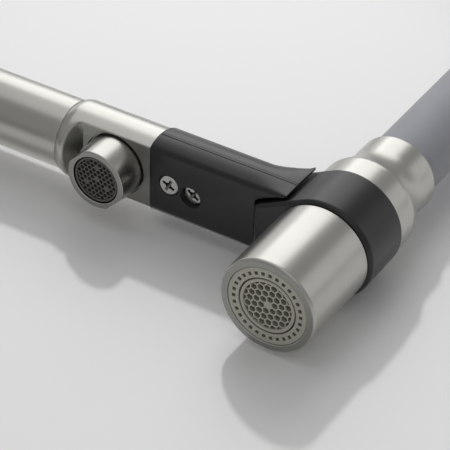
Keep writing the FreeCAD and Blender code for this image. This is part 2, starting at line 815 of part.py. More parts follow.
# Swivel: thrust washer and retaining screw in the body, spigot with its seals in the socket
piece(ring(
    "thrust_washer", "spigot_r + fit_gap", "riser_r", "thrust_len", at=("0", "0", "body_top")
))
screw_groove_floor = "(spigot_r - screw_groove_depth)"
piece(rod(
    "swivel_retainer", "set_screw_r", f"body_r - {screw_groove_floor} - 2 * run_gap",
    at=("-body_r + run_gap", "0", f"{spigot_base} + screw_groove_at"), turn=ALONG_X,
))
flange_at = "(spigot_len + thrust_len)"
stub_at = "(spigot_len + thrust_len + spigot_flange)"
stub_top = "(spigot_len + thrust_len + spigot_flange + spigot_stub)"
hose_seat_r = "(water_hose_r + fit_gap)"
oring_depth = "(2 * oring_r + seat_gap)"
spigot_blank = turned("spigot_blank", [
    ("nipple_bore_r", "0"),
    ("spigot_r", "0"),
    *groove("spigot_r", "oring_low", "groove_width", oring_depth),
    *groove("spigot_r", "screw_groove_at", "screw_groove_width", "screw_groove_depth"),
    *groove("spigot_r", "oring_mid", "groove_width", oring_depth),
    *groove("spigot_r", "filter_groove_at", "filter_groove_width", "filter_groove_depth"),
    *groove("spigot_r", "oring_top", "groove_width", oring_depth),
    ("spigot_r", flange_at),
    ("riser_r", flange_at),
    ("riser_r", stub_at),
    (f"{riser_bore} - fit_gap", stub_at),
    (f"{riser_bore} - fit_gap", stub_top),
    (hose_seat_r, stub_top),
    (hose_seat_r, f"{stub_top} - tube_seat"),
    ("nipple_bore_r", f"{stub_top} - tube_seat"),
], at=("0", "0", spigot_base))
filter_hole = rod(
    "spigot_filter_hole", "filter_tube_r + fit_gap", f"{stub_top} - filter_groove_at + filter_groove_width",
    at=("filter_offset", "0", f"{spigot_base} + filter_groove_at - filter_groove_width"),
)
filter_port = rod(
    "spigot_filter_port", "filter_port_r", "spigot_r - filter_offset",
    at=("filter_offset", "0", f"{spigot_base} + filter_groove_at"), turn=ALONG_X,
)
piece(cut("swivel_spigot", spigot_blank, filter_hole, filter_port))
oring_hoops = []
for place in ("oring_low", "oring_mid", "oring_top"):
    oring_hoops.append(hoop(
        f"{place}_hoop", "spigot_r - oring_r", "oring_r", ("0", "0", f"{spigot_base} + {place}")
    ))
piece(grouped("swivel_orings", *oring_hoops))

# Riser tube with a boss for the arm, and the arm tube
riser_blank = rod("riser_blank", "riser_r", f"{riser_top} - {riser_base}", at=("0", "0", riser_base))
arm_boss = rod("arm_boss", "boss_r", "boss_len", at=("0", "0", "arm_height"), turn=ALONG_X)
piece(cut(
    "riser_tube",
    joined("riser_and_boss", riser_blank, arm_boss),
    rod("riser_bore_cut", riser_bore, f"{riser_top} - {riser_base}", at=("0", "0", riser_base)),
    rod("arm_socket", "arm_r + fit_gap", "boss_len", at=("0", "0", "arm_height"), turn=ALONG_X),
))
arm_start = "(riser_r - riser_wall / 2)"
piece(ring(
    "arm_tube", "arm_r - arm_wall", "arm_r", f"{seam_x} - {arm_start}",
    at=(arm_start, "0", "arm_height"), turn=ALONG_X,
))

# Tubes inside: the mixed-water hose on the riser's axis and the filtered-water tube beside it
hose_from = f"({spigot_base} + {stub_top} - tube_seat)"
nipple_base = f"({hose_floor} - nipple_flange - nipple_stub)"
nipple_seat = "(nipple_stub - nipple_flange)"
piece(ring(
    "riser_hose", "water_hose_r - water_hose_wall", "water_hose_r",
    f"{nipple_base} + {nipple_seat} - {hose_from}", at=("0", "0", hose_from),
))
beside = number("filter_offset")
bend = number("filter_bend")
level = number("arm_height + filter_rise")
arc_sink = bend * (1 - math.sqrt(0.5))
tube_start = FreeCAD.Vector(beside, 0, number(f"{spigot_base} + filter_groove_at + filter_groove_width"))
bend_start = FreeCAD.Vector(beside, 0, level - bend)
bend_end = FreeCAD.Vector(beside + bend, 0, level)
bend_middle = FreeCAD.Vector(beside + arc_sink, 0, level - arc_sink)
tube_end = FreeCAD.Vector(number(f"{seam_x} - end_spigot + tube_seat"), 0, level)
filter_path = Part.Wire([
    Part.LineSegment(tube_start, bend_start).toShape(),
    Part.Arc(bend_start, bend_middle, bend_end).toShape(),
    Part.LineSegment(bend_end, tube_end).toShape(),
])
piece(own_shape(
    "filter_tube",
    swept_tube(filter_path, number("filter_tube_r"), number("filter_tube_r - filter_tube_wall")),
))

# Collar on the riser and the two hose nipples, one in the collar and one in the spray head
collar_base = f"({riser_top} - collar_stub)"
nipple_hole = "nipple_r + fit_gap"
hose_hole = "hose_r + seat_gap"
hose_stop = "(collar_stub + collar_len - hose_grip - nipple_flange)"
piece(turned("hose_collar", [
    (nipple_hole, "0"),
    (f"{riser_bore} - fit_gap", "0"),
    (f"{riser_bore} - fit_gap", "collar_stub"),
    ("riser_r", "collar_stub"),
    ("riser_r", "collar_stub + collar_straight"),
    ("collar_end_r", "collar_stub + collar_straight + collar_taper"),
    ("collar_end_r", "collar_stub + collar_len"),
    (hose_hole, "collar_stub + collar_len"),
    (hose_hole, hose_stop),
    (nipple_hole, hose_stop),
], at=("0", "0", collar_base)))
nipple_outline = [
    ("nipple_bore_r", nipple_seat),
    (hose_seat_r, nipple_seat),
    (hose_seat_r, "0"),
    ("nipple_r", "0"),
    ("nipple_r", "nipple_stub"),
    ("hose_r", "nipple_stub"),
    ("hose_r", "nipple_stub + nipple_flange"),
    ("water_hose_r - water_hose_wall - seat_gap", "nipple_stub + nipple_flange"),
    ("water_hose_r - water_hose_wall - seat_gap", "nipple_stub + nipple_flange + barb_len"),
    ("nipple_bore_r", "nipple_stub + nipple_flange + barb_len"),
]
piece(turned("riser_nipple", nipple_outline, at=("0", "0", nipple_base)))
spray_nipple_base = f"({face_z} + {neck_floor} - nipple_flange - nipple_stub)"
piece(turned("spray_nipple", nipple_outline, at=("reach", "0", spray_nipple_base)))

# Hose route in the XZ plane, from the collar over the arch to the spray head
HOSE_ROUTE = [(0, 287), (0, 428), (73, 501), (177, 501), (250, 428), (250, 287)]
# Share of the shorter run that each bend takes up
BEND_SHARE = 0.45
route = [FreeCAD.Vector(across, 0, up) for across, up in HOSE_ROUTE]
hose_edges = []
hose_radii = []
run_start = route[0]
for before, corner, after in zip(route, route[1:], route[2:]):
    back = before - corner
    onward = after - corner
    leg = BEND_SHARE * min(back.Length, onward.Length)
    half_turn = (math.pi - back.getAngle(onward)) / 2
    radius = leg / math.tan(half_turn)
    back.normalize()
    onward.normalize()
    inward = back + onward
    inward.normalize()
    arc_start = corner + back * leg
    arc_end = corner + onward * leg
    arc_middle = corner + inward * (radius / math.cos(half_turn) - radius)
    hose_edges.append(Part.LineSegment(run_start, arc_start).toShape())
    hose_edges.append(Part.Arc(arc_start, arc_middle, arc_end).toShape())
    hose_radii.append(radius)
    run_start = arc_end
hose_edges.append(Part.LineSegment(run_start, route[-1]).toShape())
hose_path = Part.Wire(hose_edges)
print("hose length", round(hose_path.Length, 1), "bend radii", [round(radius, 1) for radius in hose_radii])

# Hose layers: silicone sleeve, support spring as a plain tube, and water hose
spring_r = "(hose_r - hose_wall - spring_gap)"
hose_layers = {
    "hose_sleeve": ("hose_r", "hose_r - hose_wall"),
    "hose_spring": (spring_r, f"{spring_r} - spring_wire"),
    "water_hose": ("water_hose_r", "water_hose_r - water_hose_wall"),
}
for layer, (outer, bore) in hose_layers.items():
    piece(own_shape(layer, swept_tube(hose_path, number(outer), number(bore))))

# Arm end: a casting with a spigot in the arm tube, a flat under it for the outlet and a tongue for the dock
end_x = f"({seam_x} + swell_len)"
casting = joined(
    "arm_end_casting",
    rod(
        "end_spigot_rod", "arm_r - arm_wall - fit_gap", "end_spigot + swell_len",
        at=(f"{seam_x} - end_spigot", "0", "arm_height"), turn=ALONG_X,
    ),
    shaped(
        "Part::Cone", "end_swell", (seam_x, "0", "arm_height"), ALONG_X,
        Radius1="arm_end_r - swell_step", Radius2="arm_end_r", Height="swell_len",
    ),
    rod("end_round", "arm_end_r", f"{bracket_x} - {end_x}", at=(end_x, "0", "arm_height"), turn=ALONG_X),
    rod("tongue_round", "tongue_r", "tongue_len", at=(bracket_x, "0", "arm_height"), turn=ALONG_X),
)
flat_z = "(arm_height - flat_drop)"
outlet_ceiling = "(filter_rise + filter_tube_r + flat_drop)"
piece(cut(
    "arm_end",
    casting,
    block(
        "flat_cut", ("outlet_back - bracket_back", "2 * arm_end_r", "arm_end_r"),
        at=(outlet_x, "-arm_end_r", f"{flat_z} - arm_end_r"),
    ),
    rod("scallop_cut", "scallop_r", "arm_end_r", at=(outlet_x, "0", f"{flat_z} - arm_end_r")),
    block(
        "tongue_cut", ("tongue_len", "2 * arm_end_r", "arm_end_r"),
        at=(bracket_x, "-arm_end_r", "arm_height - tongue_drop - arm_end_r"),
    ),
    rod(
        "tube_seat_hole", "filter_tube_r + fit_gap", "tube_seat",
        at=(f"{seam_x} - end_spigot", "0", "arm_height + filter_rise"), turn=ALONG_X,
    ),
    rod(
        "end_way", "filter_tube_r - filter_tube_wall", "seam_back + end_spigot - outlet_back",
        at=(f"{seam_x} - end_spigot", "0", "arm_height + filter_rise"), turn=ALONG_X,
    ),
    rod("outlet_socket", "outlet_thread_r + fit_gap", outlet_ceiling, at=(outlet_x, "0", flat_z)),
    rod("outlet_recess_cut", "outlet_r + outlet_recess_gap", "outlet_recess", at=(outlet_x, "0", flat_z)),
    *[
        rod(
            f"{place}_tapping", "screw_shank_r + fit_gap", "screw_shank_len",
            at=(f"reach - {place}", aside, "arm_height - tongue_drop"),
        )
        for place, aside in (("dock_screw_first", "0"), ("dock_screw_second", "dock_screw_aside"))
    ],
))

# Filtered-water outlet: cap with two wrench flats, sealing ring and cell insert
cap_len = "(outlet_len + outlet_recess - outlet_seal_len)"
outlet_z = f"({flat_z} - outlet_len)"
flat_depth = "(outlet_r - outlet_flats / 2)"
cap_blank = joined(
    "cap_blank",
    rod("cap_round", "outlet_r", cap_len),
    rod("cap_thread", "outlet_thread_r", f"{cap_len} + outlet_thread_len"),
)
outlet_housing = cut(
    "outlet_housing",
    cap_blank,
    rod("cap_bore", "insert_r + seat_gap", "outlet_bore_depth"),
    rod("cap_passage", "outlet_passage_r", f"{cap_len} + outlet_thread_len"),
    block(
        "cap_flat_front", (flat_depth, "2 * outlet_r", "outlet_flats_len"),
        at=("outlet_flats / 2", "-outlet_r", "0"),
    ),
    block(
        "cap_flat_back", (flat_depth, "2 * outlet_r", "outlet_flats_len"),
        at=("-outlet_r", "-outlet_r", "0"),
    ),
)
piece(settle(outlet_housing, (outlet_x, "0", outlet_z), EIGHTH_TURN))
piece(ring(
    "outlet_seal", "outlet_thread_r + seat_gap", "outlet_r", "outlet_seal_len",
    at=(outlet_x, "0", f"{flat_z} + outlet_recess - outlet_seal_len"),
))
FILLED_INSERT_CELLS = {(0, 0), (2, 1), (-3, 2), (1, -3)}
piece(own_shape(
    "outlet_insert",
    cell_screen(
        number("insert_r"), number("insert_rim"), number("insert_len"), number("insert_recess"),
        number("insert_pitch"), number("insert_web"), FILLED_INSERT_CELLS,
    ),
    at=(outlet_x, "0", f"{outlet_z} + insert_recess"),
))

# Dock bracket: a D-section sleeve that flares to a block with a notch for the spray head's ring
round_len = "(bracket_back - bracket_round_end)"
flare_len = "(bracket_flare_start - bracket_flare_end)"
bracket_round = cut(
    "bracket_round",
    rod("bracket_round_rod", "bracket_r", round_len, at=(bracket_x, "0", "arm_height"), turn=ALONG_X),
    block(
        "bracket_under", (round_len, "2 * bracket_r", "bracket_r"),
        at=(bracket_x, "-bracket_r", "arm_height - bracket_drop - bracket_r"),
    ),
)
# The flare is a wedge whose own Y runs along the arm, its own X across it and its own Z up
FLARE_TURN = FreeCAD.Rotation(FreeCAD.Vector(0, 0, 1), -90)
bracket_flare = shaped(
    "Part::Wedge", "bracket_flare", ("reach - bracket_flare_start", "0", "arm_height"), FLARE_TURN,
    Xmin="-flare_half", Xmax="flare_half", Zmin="-bracket_drop", Zmax="bracket_top",
    Ymin="0", Ymax=flare_len,
    X2min="-bracket_half", X2max="bracket_half", Z2min="-bracket_sole", Z2max="bracket_top",
)
bracket_block = block(
    "bracket_block",
    ("bracket_flare_end - bracket_tip", "2 * bracket_half", "bracket_top + bracket_sole"),
    at=("reach - bracket_flare_end", "-bracket_half", "arm_height - bracket_sole"),
)
notch_len = "(4 * bracket_r)"
notch = teardrop(
    "bracket_notch", "ring_r + dock_gap", "nose_x + dock_gap", "nose_half + nose_gap",
    notch_len, at=("reach", "0", f"arm_height - {notch_len} / 2"), turn=HALF_TURN,
)
socket_len = "(tongue_len + seat_gap)"
tongue_socket = cut(
    "tongue_socket",
    rod("socket_round", "tongue_r + seat_gap", socket_len, at=(bracket_x, "0", "arm_height"), turn=ALONG_X),
    block(
        "socket_under", (socket_len, "2 * bracket_r", "bracket_r"),
        at=(bracket_x, "-bracket_r", "arm_height - tongue_drop - seat_gap - bracket_r"),
    ),
)
magnet_end = "(nose_x + dock_gap + magnet_wall)"
magnet_x = f"(reach - {magnet_end} - dock_magnet_len)"
magnet_bore = rod(
    "magnet_bore", "dock_magnet_r + fit_gap", f"bracket_back - tongue_len - {magnet_end}",
    at=(f"{bracket_x} + tongue_len", "0", "arm_height"), turn=ALONG_X,
)
screw_places = {
    "dock_screw_first": ("0", "(arm_height - bracket_drop)"),
    "dock_screw_second": ("dock_screw_aside", "(arm_height - bracket_drop + dock_screw_sunk)"),
}
screw_holes = []
screws = []
for place, (aside, head_z) in screw_places.items():
    screw_x = f"reach - {place}"
    screw_holes.append(rod(
        f"{place}_well", "screw_head_r + run_gap", f"{head_z} + screw_head_len - arm_height + bracket_drop",
        at=(screw_x, aside, "arm_height - bracket_drop"),
    ))
    screw_holes.append(rod(
        f"{place}_hole", "screw_shank_r + seat_gap", "bracket_drop", at=(screw_x, aside, head_z)
    ))
    screw_body = joined(
        f"{place}_body",
        rod(f"{place}_head", "screw_head_r", "screw_head_len", at=(screw_x, aside, head_z)),
        rod(f"{place}_shank", "screw_shank_r", "screw_shank_len", at=(screw_x, aside, head_z)),
    )
    slot_x = block(
        f"{place}_slot", ("screw_slot_len", "screw_slot_width", "screw_slot_depth"),
        at=(f"{screw_x} - screw_slot_len / 2", f"{aside} - screw_slot_width / 2", head_z),
    )
    slot_y = block(
        f"{place}_cross", ("screw_slot_width", "screw_slot_len", "screw_slot_depth"),
        at=(f"{screw_x} - screw_slot_width / 2", f"{aside} - screw_slot_len / 2", head_z),
    )
    screws.append(cut(place, screw_body, slot_x, slot_y))
piece(cut(
    "dock_bracket",
    joined("bracket_solid", bracket_round, bracket_flare, bracket_block),
    notch, tongue_socket, magnet_bore, *screw_holes,
))
piece(grouped("dock_screws", *screws))
piece(rod(
    "dock_magnet", "dock_magnet_r", "dock_magnet_len", at=(magnet_x, "0", "arm_height"), turn=ALONG_X
))

# Spray head: core, docking ring with its magnet, and neck
head = ("reach", "0", face_z)
core_base = f"({diverter_top} + core_gap)"
boss_r = "nipple_r + core_boss_wall"
piece(turned("spray_core", [
    ("core_bore_r", core_base),
    (core_r, core_base),
    *groove(core_r, "core_seal_at", "groove_width", oring_depth),
    (core_r, "core_shoulder"),
    (boss_r, "core_shoulder"),
    (boss_r, "core_boss_top"),
    (nipple_hole, "core_boss_top"),
    (nipple_hole, "core_chamber_top + core_web"),
    ("nipple_bore_r", "core_chamber_top + core_web"),
    ("nipple_bore_r", "core_chamber_top"),
    ("core_bore_r", "core_chamber_top"),
], at=head))
piece(hoop(
    "nozzle_seal", f"{core_r} - oring_r", "oring_r", ("reach", "0", f"{face_z} + core_seal_at")
))
magnet_seat = "(nose_x - ring_magnet_wall - ring_magnet_thick)"
dock_ring = cut(
    "dock_ring",
    teardrop("ring_blank", "ring_r", "nose_x", "nose_half", "ring_len"),
    rod("ring_bore", barrel_bore, "ring_len"),
    block(
        "ring_magnet_pocket",
        (
            "nose_x - ring_magnet_wall + fit_gap",
            "ring_magnet_width + 2 * seat_gap",
            "ring_magnet_len + 2 * seat_gap",
        ),
        at=("0", "-ring_magnet_width / 2 - seat_gap", "(ring_len - ring_magnet_len) / 2 - seat_gap"),
    ),
)
piece(settle(dock_ring, ("reach", "0", f"{face_z} + {ring_base}"), HALF_TURN))
piece(block(
    "ring_magnet", ("ring_magnet_thick", "ring_magnet_width", "ring_magnet_len"),
    at=(
        "reach - nose_x + ring_magnet_wall",
        "-ring_magnet_width / 2",
        f"{face_z} + {ring_base} + (ring_len - ring_magnet_len) / 2",
    ),
))
# The neck narrows to the hose in three equal steps of an S-curve
neck_shoulder = f"({neck_base} + neck_straight)"
piece(turned("spray_neck", [
    (barrel_bore, neck_base),
    ("neck_r", neck_base),
    ("neck_r", neck_shoulder),
    ("(3 * neck_r + neck_end_r) / 4", f"{neck_shoulder} + neck_curve / 3"),
    ("(neck_r + 3 * neck_end_r) / 4", f"{neck_shoulder} + neck_curve * 2 / 3"),
    ("neck_end_r", f"{neck_shoulder} + neck_curve"),
    ("neck_end_r", "neck_top"),
    (hose_hole, "neck_top"),
    (hose_hole, f"{neck_shoulder} + neck_curve / 2"),
    (barrel_bore, f"{neck_shoulder} - fit_gap"),
], at=head))

# Nozzle that turns on the core: barrel, ring of jets, cell insert and diverter disc
piece(turned("nozzle_barrel", [
    ("lip_r", "0"),
    ("barrel_r - barrel_edge", "0"),
    ("barrel_r", "barrel_edge"),
    ("barrel_r", "barrel_len"),
    (barrel_bore, "barrel_len"),
    (barrel_bore, "lip_len"),
    ("lip_r", "lip_len"),
], at=head))
plate_bore = "honey_r + seat_gap"
spray_plate = turned("spray_plate", [
    (plate_bore, "face_recess"),
    ("lip_r - plate_gap", "face_recess"),
    ("lip_r - plate_gap", "lip_len"),
    (core_r, "lip_len"),
    (core_r, plate_top),
    (plate_bore, plate_top),
], at=head)
piece(punched(spray_plate, "jet_mid_r", "jet_count", plate_top, square_hole))
piece(own_shape(
    "spray_honeycomb",
    cell_screen(
        number("honey_r"), number("honey_rim"), number(f"{plate_top} - face_recess"),
        number("honey_recess"), number("honey_pitch"), number("honey_web"), {(0, 0)},
    ),
    at=("reach", "0", f"{face_z} + face_recess"),
))
diverter = turned("diverter_disc", [
    ("diverter_hole_r", plate_top),
    (core_r, plate_top),
    (core_r, diverter_top),
    ("diverter_hole_r", diverter_top),
], at=head)
piece(punched(diverter, "port_mid_r", "port_count", diverter_top, round_hole))

doc.recompute()
for thing in doc.Objects:
    if "Invalid" in thing.State or "Error" in thing.State:
        raise RuntimeError(f"{thing.Label} failed to build")
for thing in pieces:
    if thing.Shape.isNull() or not thing.Shape.isValid():
        raise RuntimeError(f"{thing.Label} has no valid shape")

os.makedirs("parts", exist_ok=True)
for thing in pieces:
    thing.Shape.exportStep(f"parts/{thing.Label}.step")
print(len(pieces), "pieces")
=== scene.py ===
# Flexible kitchen faucet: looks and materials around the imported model, in metres, +Z up from the deck.

import math

import bmesh
import bpy
from mathutils import Matrix, Vector


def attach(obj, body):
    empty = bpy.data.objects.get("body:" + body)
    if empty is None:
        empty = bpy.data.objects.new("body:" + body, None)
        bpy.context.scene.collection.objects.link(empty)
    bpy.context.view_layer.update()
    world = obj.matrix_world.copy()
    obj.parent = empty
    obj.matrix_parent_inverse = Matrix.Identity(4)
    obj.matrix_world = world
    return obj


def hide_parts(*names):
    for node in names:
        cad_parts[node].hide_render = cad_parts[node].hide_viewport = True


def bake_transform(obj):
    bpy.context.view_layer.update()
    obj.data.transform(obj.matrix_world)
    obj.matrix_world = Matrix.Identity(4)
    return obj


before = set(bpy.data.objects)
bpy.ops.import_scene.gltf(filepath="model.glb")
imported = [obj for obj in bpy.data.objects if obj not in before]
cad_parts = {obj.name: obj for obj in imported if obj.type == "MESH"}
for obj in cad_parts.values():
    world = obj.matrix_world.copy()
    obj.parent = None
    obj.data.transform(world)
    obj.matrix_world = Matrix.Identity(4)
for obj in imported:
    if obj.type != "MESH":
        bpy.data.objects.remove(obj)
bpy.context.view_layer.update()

# Camera
# It stands below the arm on the filter lever's side and looks up at the docked spray head, rolled so that
# the filter lever's side is up. A long lens keeps the perspective flat.
MM = 0.001
scene = bpy.context.scene
scene.view_settings.view_transform = "Standard"
camera_place = Vector((497.885, -410.857, -232.006)) * MM
camera_right = Vector((0.85049, -0.02558, 0.52537))
camera_up = Vector((-0.33245, -0.80016, 0.49923))
camera_back = Vector((0.40761, -0.59924, -0.68903))
camera_data = bpy.data.cameras.new("camera")
camera_data.sensor_width = 36
camera_data.lens = 175.96
camera = bpy.data.objects.new("camera", camera_data)
camera_turn = Matrix((camera_right, camera_up, camera_back)).transposed().to_4x4()
camera.matrix_world = Matrix.Translation(camera_place) @ camera_turn
scene.collection.objects.link(camera)
scene.camera = camera

# Spray hose
# A smooth extruded silicone sleeve over a steel support spring and a water hose. The spring holds the arch
# from the column's collar to the spray head, and both ends are crimped on nipples inside metal cups.

# Across and up in mm. The second point and the last but one hold the hose straight where it leaves its cups.
HOSE_ROUTE = [(0, 287), (0, 300), (0, 428), (73, 501), (177, 501), (250, 428), (250, 300), (250, 287)]
HOSE_R, HOSE_BORE = 12 * MM, 9 * MM
SPRING_R, SPRING_BORE = 8.6 * MM, 7.4 * MM
PIPE_R, PIPE_BORE = 4.5 * MM, 3 * MM
SHARP_ANGLE = math.radians(32)
MERGE_GAP = 1e-7


def linear(hex_colour):
    """An sRGB hex colour as linear red, green, blue and alpha."""
    values = [int(hex_colour[k:k + 2], 16) / 255 for k in (0, 2, 4)]
    return tuple(v / 12.92 if v <= 0.04045 else ((v + 0.055) / 1.055) ** 2.4 for v in values) + (1.0,)


def add_node(tree, kind, settings=None, **inputs):
    """A node with its settings; each input is a value or another node's output."""
    node = tree.nodes.new(kind)
    for name, value in (settings or {}).items():
        setattr(node, name, value)
    for name, value in inputs.items():
        socket = node.inputs[name.replace("_", " ")]
        if isinstance(value, bpy.types.NodeSocket):
            tree.links.new(value, socket)
        else:
            socket.default_value = value
    return node


def start_material(name):
    """An empty material and its node tree."""
    material = bpy.data.materials.new(name)
    material.use_nodes = True
    material.node_tree.nodes.clear()
    return material, material.node_tree


def per(size_mm):
    """Texture scale for features of a real size."""
    return 1 / (size_mm * MM)


def uneven_material(name, patch, colour, gloss, detail=3.0, **shading):
    """A material whose look wanders over patches of a size in mm, or of three sizes along the axes.

    The colour and the roughness are each a pair that they wander between, or one value all over.
    """
    material, tree = start_material(name)
    sizes = patch if isinstance(patch, tuple) else (patch,) * 3
    place = add_node(tree, "ShaderNodeTexCoord")
    scaled = add_node(tree, "ShaderNodeMapping", Vector=place.outputs["Object"], Scale=[per(s) for s in sizes])
    pattern = add_node(tree, "ShaderNodeTexNoise", Vector=scaled.outputs["Vector"], Scale=1.0, Detail=detail)
    if isinstance(colour, tuple):
        tone = add_node(tree, "ShaderNodeMix", {"data_type": "RGBA"}, Factor=pattern.outputs["Fac"],
                        A=linear(colour[0]), B=linear(colour[1]))
        shading["Base_Color"] = tone.outputs["Result"]
    else:
        shading["Base_Color"] = linear(colour)
    if isinstance(gloss, tuple):
        rough = add_node(tree, "ShaderNodeMapRange", Value=pattern.outputs["Fac"], To_Min=gloss[0], To_Max=gloss[1])
        shading["Roughness"] = rough.outputs["Result"]
    else:
        shading["Roughness"] = gloss
    shader = add_node(tree, "ShaderNodeBsdfPrincipled", **shading)
    add_node(tree, "ShaderNodeOutputMaterial", Surface=shader.outputs["BSDF"])
    return material


def add_skin(material, size_mm, strength, height_mm):
    """Fine relief all over a material, with features of a real size."""
    tree = material.node_tree
    place = add_node(tree, "ShaderNodeTexCoord")
    grain = add_node(tree, "ShaderNodeTexNoise", Vector=place.outputs["Object"], Scale=per(size_mm), Detail=2.0)
    skin = add_node(tree, "ShaderNodeBump", Height=grain.outputs["Fac"], Strength=strength, Distance=height_mm * MM)
    tree.links.new(skin.outputs["Normal"], tree.nodes["Principled BSDF"].inputs["Normal"])


def smooth(mesh):
    """Smooth shading that keeps real corners crisp."""
    mesh.shade_smooth()
    mesh.set_sharp_from_angle(angle=SHARP_ANGLE)


def make_piece(name, verts, faces, material):
    """A closed mesh as an object, with doubled points merged and its faces turned outwards."""
    mesh = bpy.data.meshes.new(name)
    mesh.from_pydata([tuple(v) for v in verts], [], faces)
    work = bmesh.new()
    work.from_mesh(mesh)
    bmesh.ops.remove_doubles(work, verts=work.verts, dist=MERGE_GAP)
    bmesh.ops.recalc_face_normals(work, faces=work.faces)
    work.to_mesh(mesh)
    work.free()
    smooth(mesh)
    mesh.materials.append(material)
    piece = bpy.data.objects.new(name, mesh)
    scene.collection.objects.link(piece)
    return piece


def faces_between(rings, count, closed=True):
    """Faces over rings of so many points each, back to the first ring or capped at both ends."""
    faces = []
    for ring in range(rings if closed else rings - 1):
        here, after = ring * count, (ring + 1) % rings * count
        for side in range(count):
            beside = (side + 1) % count
            faces.append((here + side, here + beside, after + beside, after + side))
    if not closed:
        faces += [tuple(range(count)), tuple(range((rings - 1) * count, rings * count))]
    return faces


def circle(count):
    """Evenly spaced angles round a full turn."""
    return [2 * math.pi * k / count for k in range(count)]


def tube_along(name, path, outer, inner, material, sides=72):
    """A pipe of round section along a path in the XZ plane."""
    last = len(path) - 1
    sideways = Vector((0, 1, 0))
    verts = []
    for radius, order in ((outer, range(last + 1)), (inner, range(last, -1, -1))):
        for k in order:
            along = (path[min(k + 1, last)] - path[max(k - 1, 0)]).normalized()
            outwards = along.cross(sideways)
            verts.extend(path[k] + radius * (math.cos(angle) * sideways + math.sin(angle) * outwards)
                         for angle in circle(sides))
    return make_piece(name, verts, faces_between(2 * len(path), sides), material)


# Silicone is a soft matte rubber: a broad dull sheen, a faint mottle and a skin of fine pores.
silicone = uneven_material("grey extruded silicone", 9, ("84858B", "8E8F95"), 0.55, IOR=1.41,
                           Sheen_Weight=0.15, Sheen_Roughness=0.5)
add_skin(silicone, 0.35, 0.15, 0.05)

line_data = bpy.data.curves.new("hose_line", "CURVE")
line_data.dimensions = "3D"
line_data.resolution_u = 24
spline = line_data.splines.new("NURBS")
spline.points.add(len(HOSE_ROUTE) - 1)
for point, (across, up) in zip(spline.points, HOSE_ROUTE):
    point.co = (across * MM, 0, up * MM, 1)
spline.order_u = 3
spline.use_endpoint_u = True
line = bpy.data.objects.new("hose_line", line_data)
line_mesh = bpy.data.meshes.new_from_object(line)
hose_path = [vertex.co.copy() for vertex in line_mesh.vertices]
bpy.data.objects.remove(line)
bpy.data.curves.remove(line_data)
bpy.data.meshes.remove(line_mesh)

hose = tube_along("spray_hose", hose_path, HOSE_R, HOSE_BORE, silicone)
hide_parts("hose_sleeve")

# Spring steel under the sleeve, drawn as a dull pipe because the sleeve hides it.
spring_steel = uneven_material("oiled spring steel", 4, "A8A8A8", (0.3, 0.5), Metallic=1.0)
spring = tube_along("hose_support_spring", hose_path, SPRING_R, SPRING_BORE, spring_steel, sides=32)
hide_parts("hose_spring")

# White plastic of the inner hose, washers and cartridge: smooth moulded acetal with a soft gloss.
acetal = uneven_material("white moulded acetal", 6, "E2E1DC", (0.32, 0.45), detail=2.0, IOR=1.48)
water_pipe = tube_along("water_hose_pipe", hose_path, PIPE_R, PIPE_BORE, acetal, sides=24)
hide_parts("water_hose")
for layer in (hose, spring, water_pipe):
    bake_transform(layer)

# Deck fixing
# A turned brass flange sits on the deck over a rubber ring. A threaded brass shank goes through the deck
# hole, and a rubber ring, a steel washer and a hexagon brass nut clamp it from below.
ROUND_STEPS = 4
REACH_MOST = 0.45
HOLD_OUT, HOLD_MOST = 1.35, 0.25


def spread(first, last, count):
    """Evenly spaced numbers from first to last."""
    return [first + (last - first) * k / count for k in range(count + 1)]


def rounded(profile):
    """Outline corners rounded where a third number gives a radius in mm.

    A point just before and after each rounding keeps the shading of the straight runs flat.
    """
    points = []
    for k, corner in enumerate(profile):
        here = Vector(corner[:2])
        if len(corner) == 2:
            points.append(here)
            continue
        back = Vector(profile[k - 1][:2]) - here
        onward = Vector(profile[(k + 1) % len(profile)][:2]) - here
        half = back.angle(onward) / 2
        reach = min(corner[2] / math.tan(half), REACH_MOST * back.length, REACH_MOST * onward.length)
        back.normalize()
        onward.normalize()
        middle = here + (back + onward).normalized() * (reach / math.cos(half))
        start = here + back * reach - middle
        sweep = start.angle_signed(here + onward * reach - middle)
        points.append(here + back * min(HOLD_OUT * reach, reach + HOLD_MOST))
        points.extend(middle + Matrix.Rotation(-sweep * share, 2) @ start for share in spread(0, 1, ROUND_STEPS))
        points.append(here + onward * HOLD_OUT * reach)
    return points


def at_angle(radius, angle, height=0.0):
    """A point at a radius, an angle about the upright and a height."""
    return Vector((radius * math.cos(angle), radius * math.sin(angle), height))


def turned(name, profile, material, at=(0, 0, 0), along=(0, 0, 1), sides=128):
    """A lathe-turned piece: a closed outline of radius, height and perhaps rounding in mm, spun about an axis."""
    outline = rounded(profile)
    swing = Vector((0, 0, 1)).rotation_difference(Vector(along)).to_matrix()
    verts = [(Vector(at) + swing @ at_angle(radius, angle, height)) * MM
             for radius, height in outline for angle in circle(sides)]
    return make_piece(name, verts, faces_between(len(outline), sides), material)


def seat(piece, body, slot, *nodes):
    """A finished piece rides on its body in place of its solids."""
    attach(piece, body)
    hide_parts(*nodes)


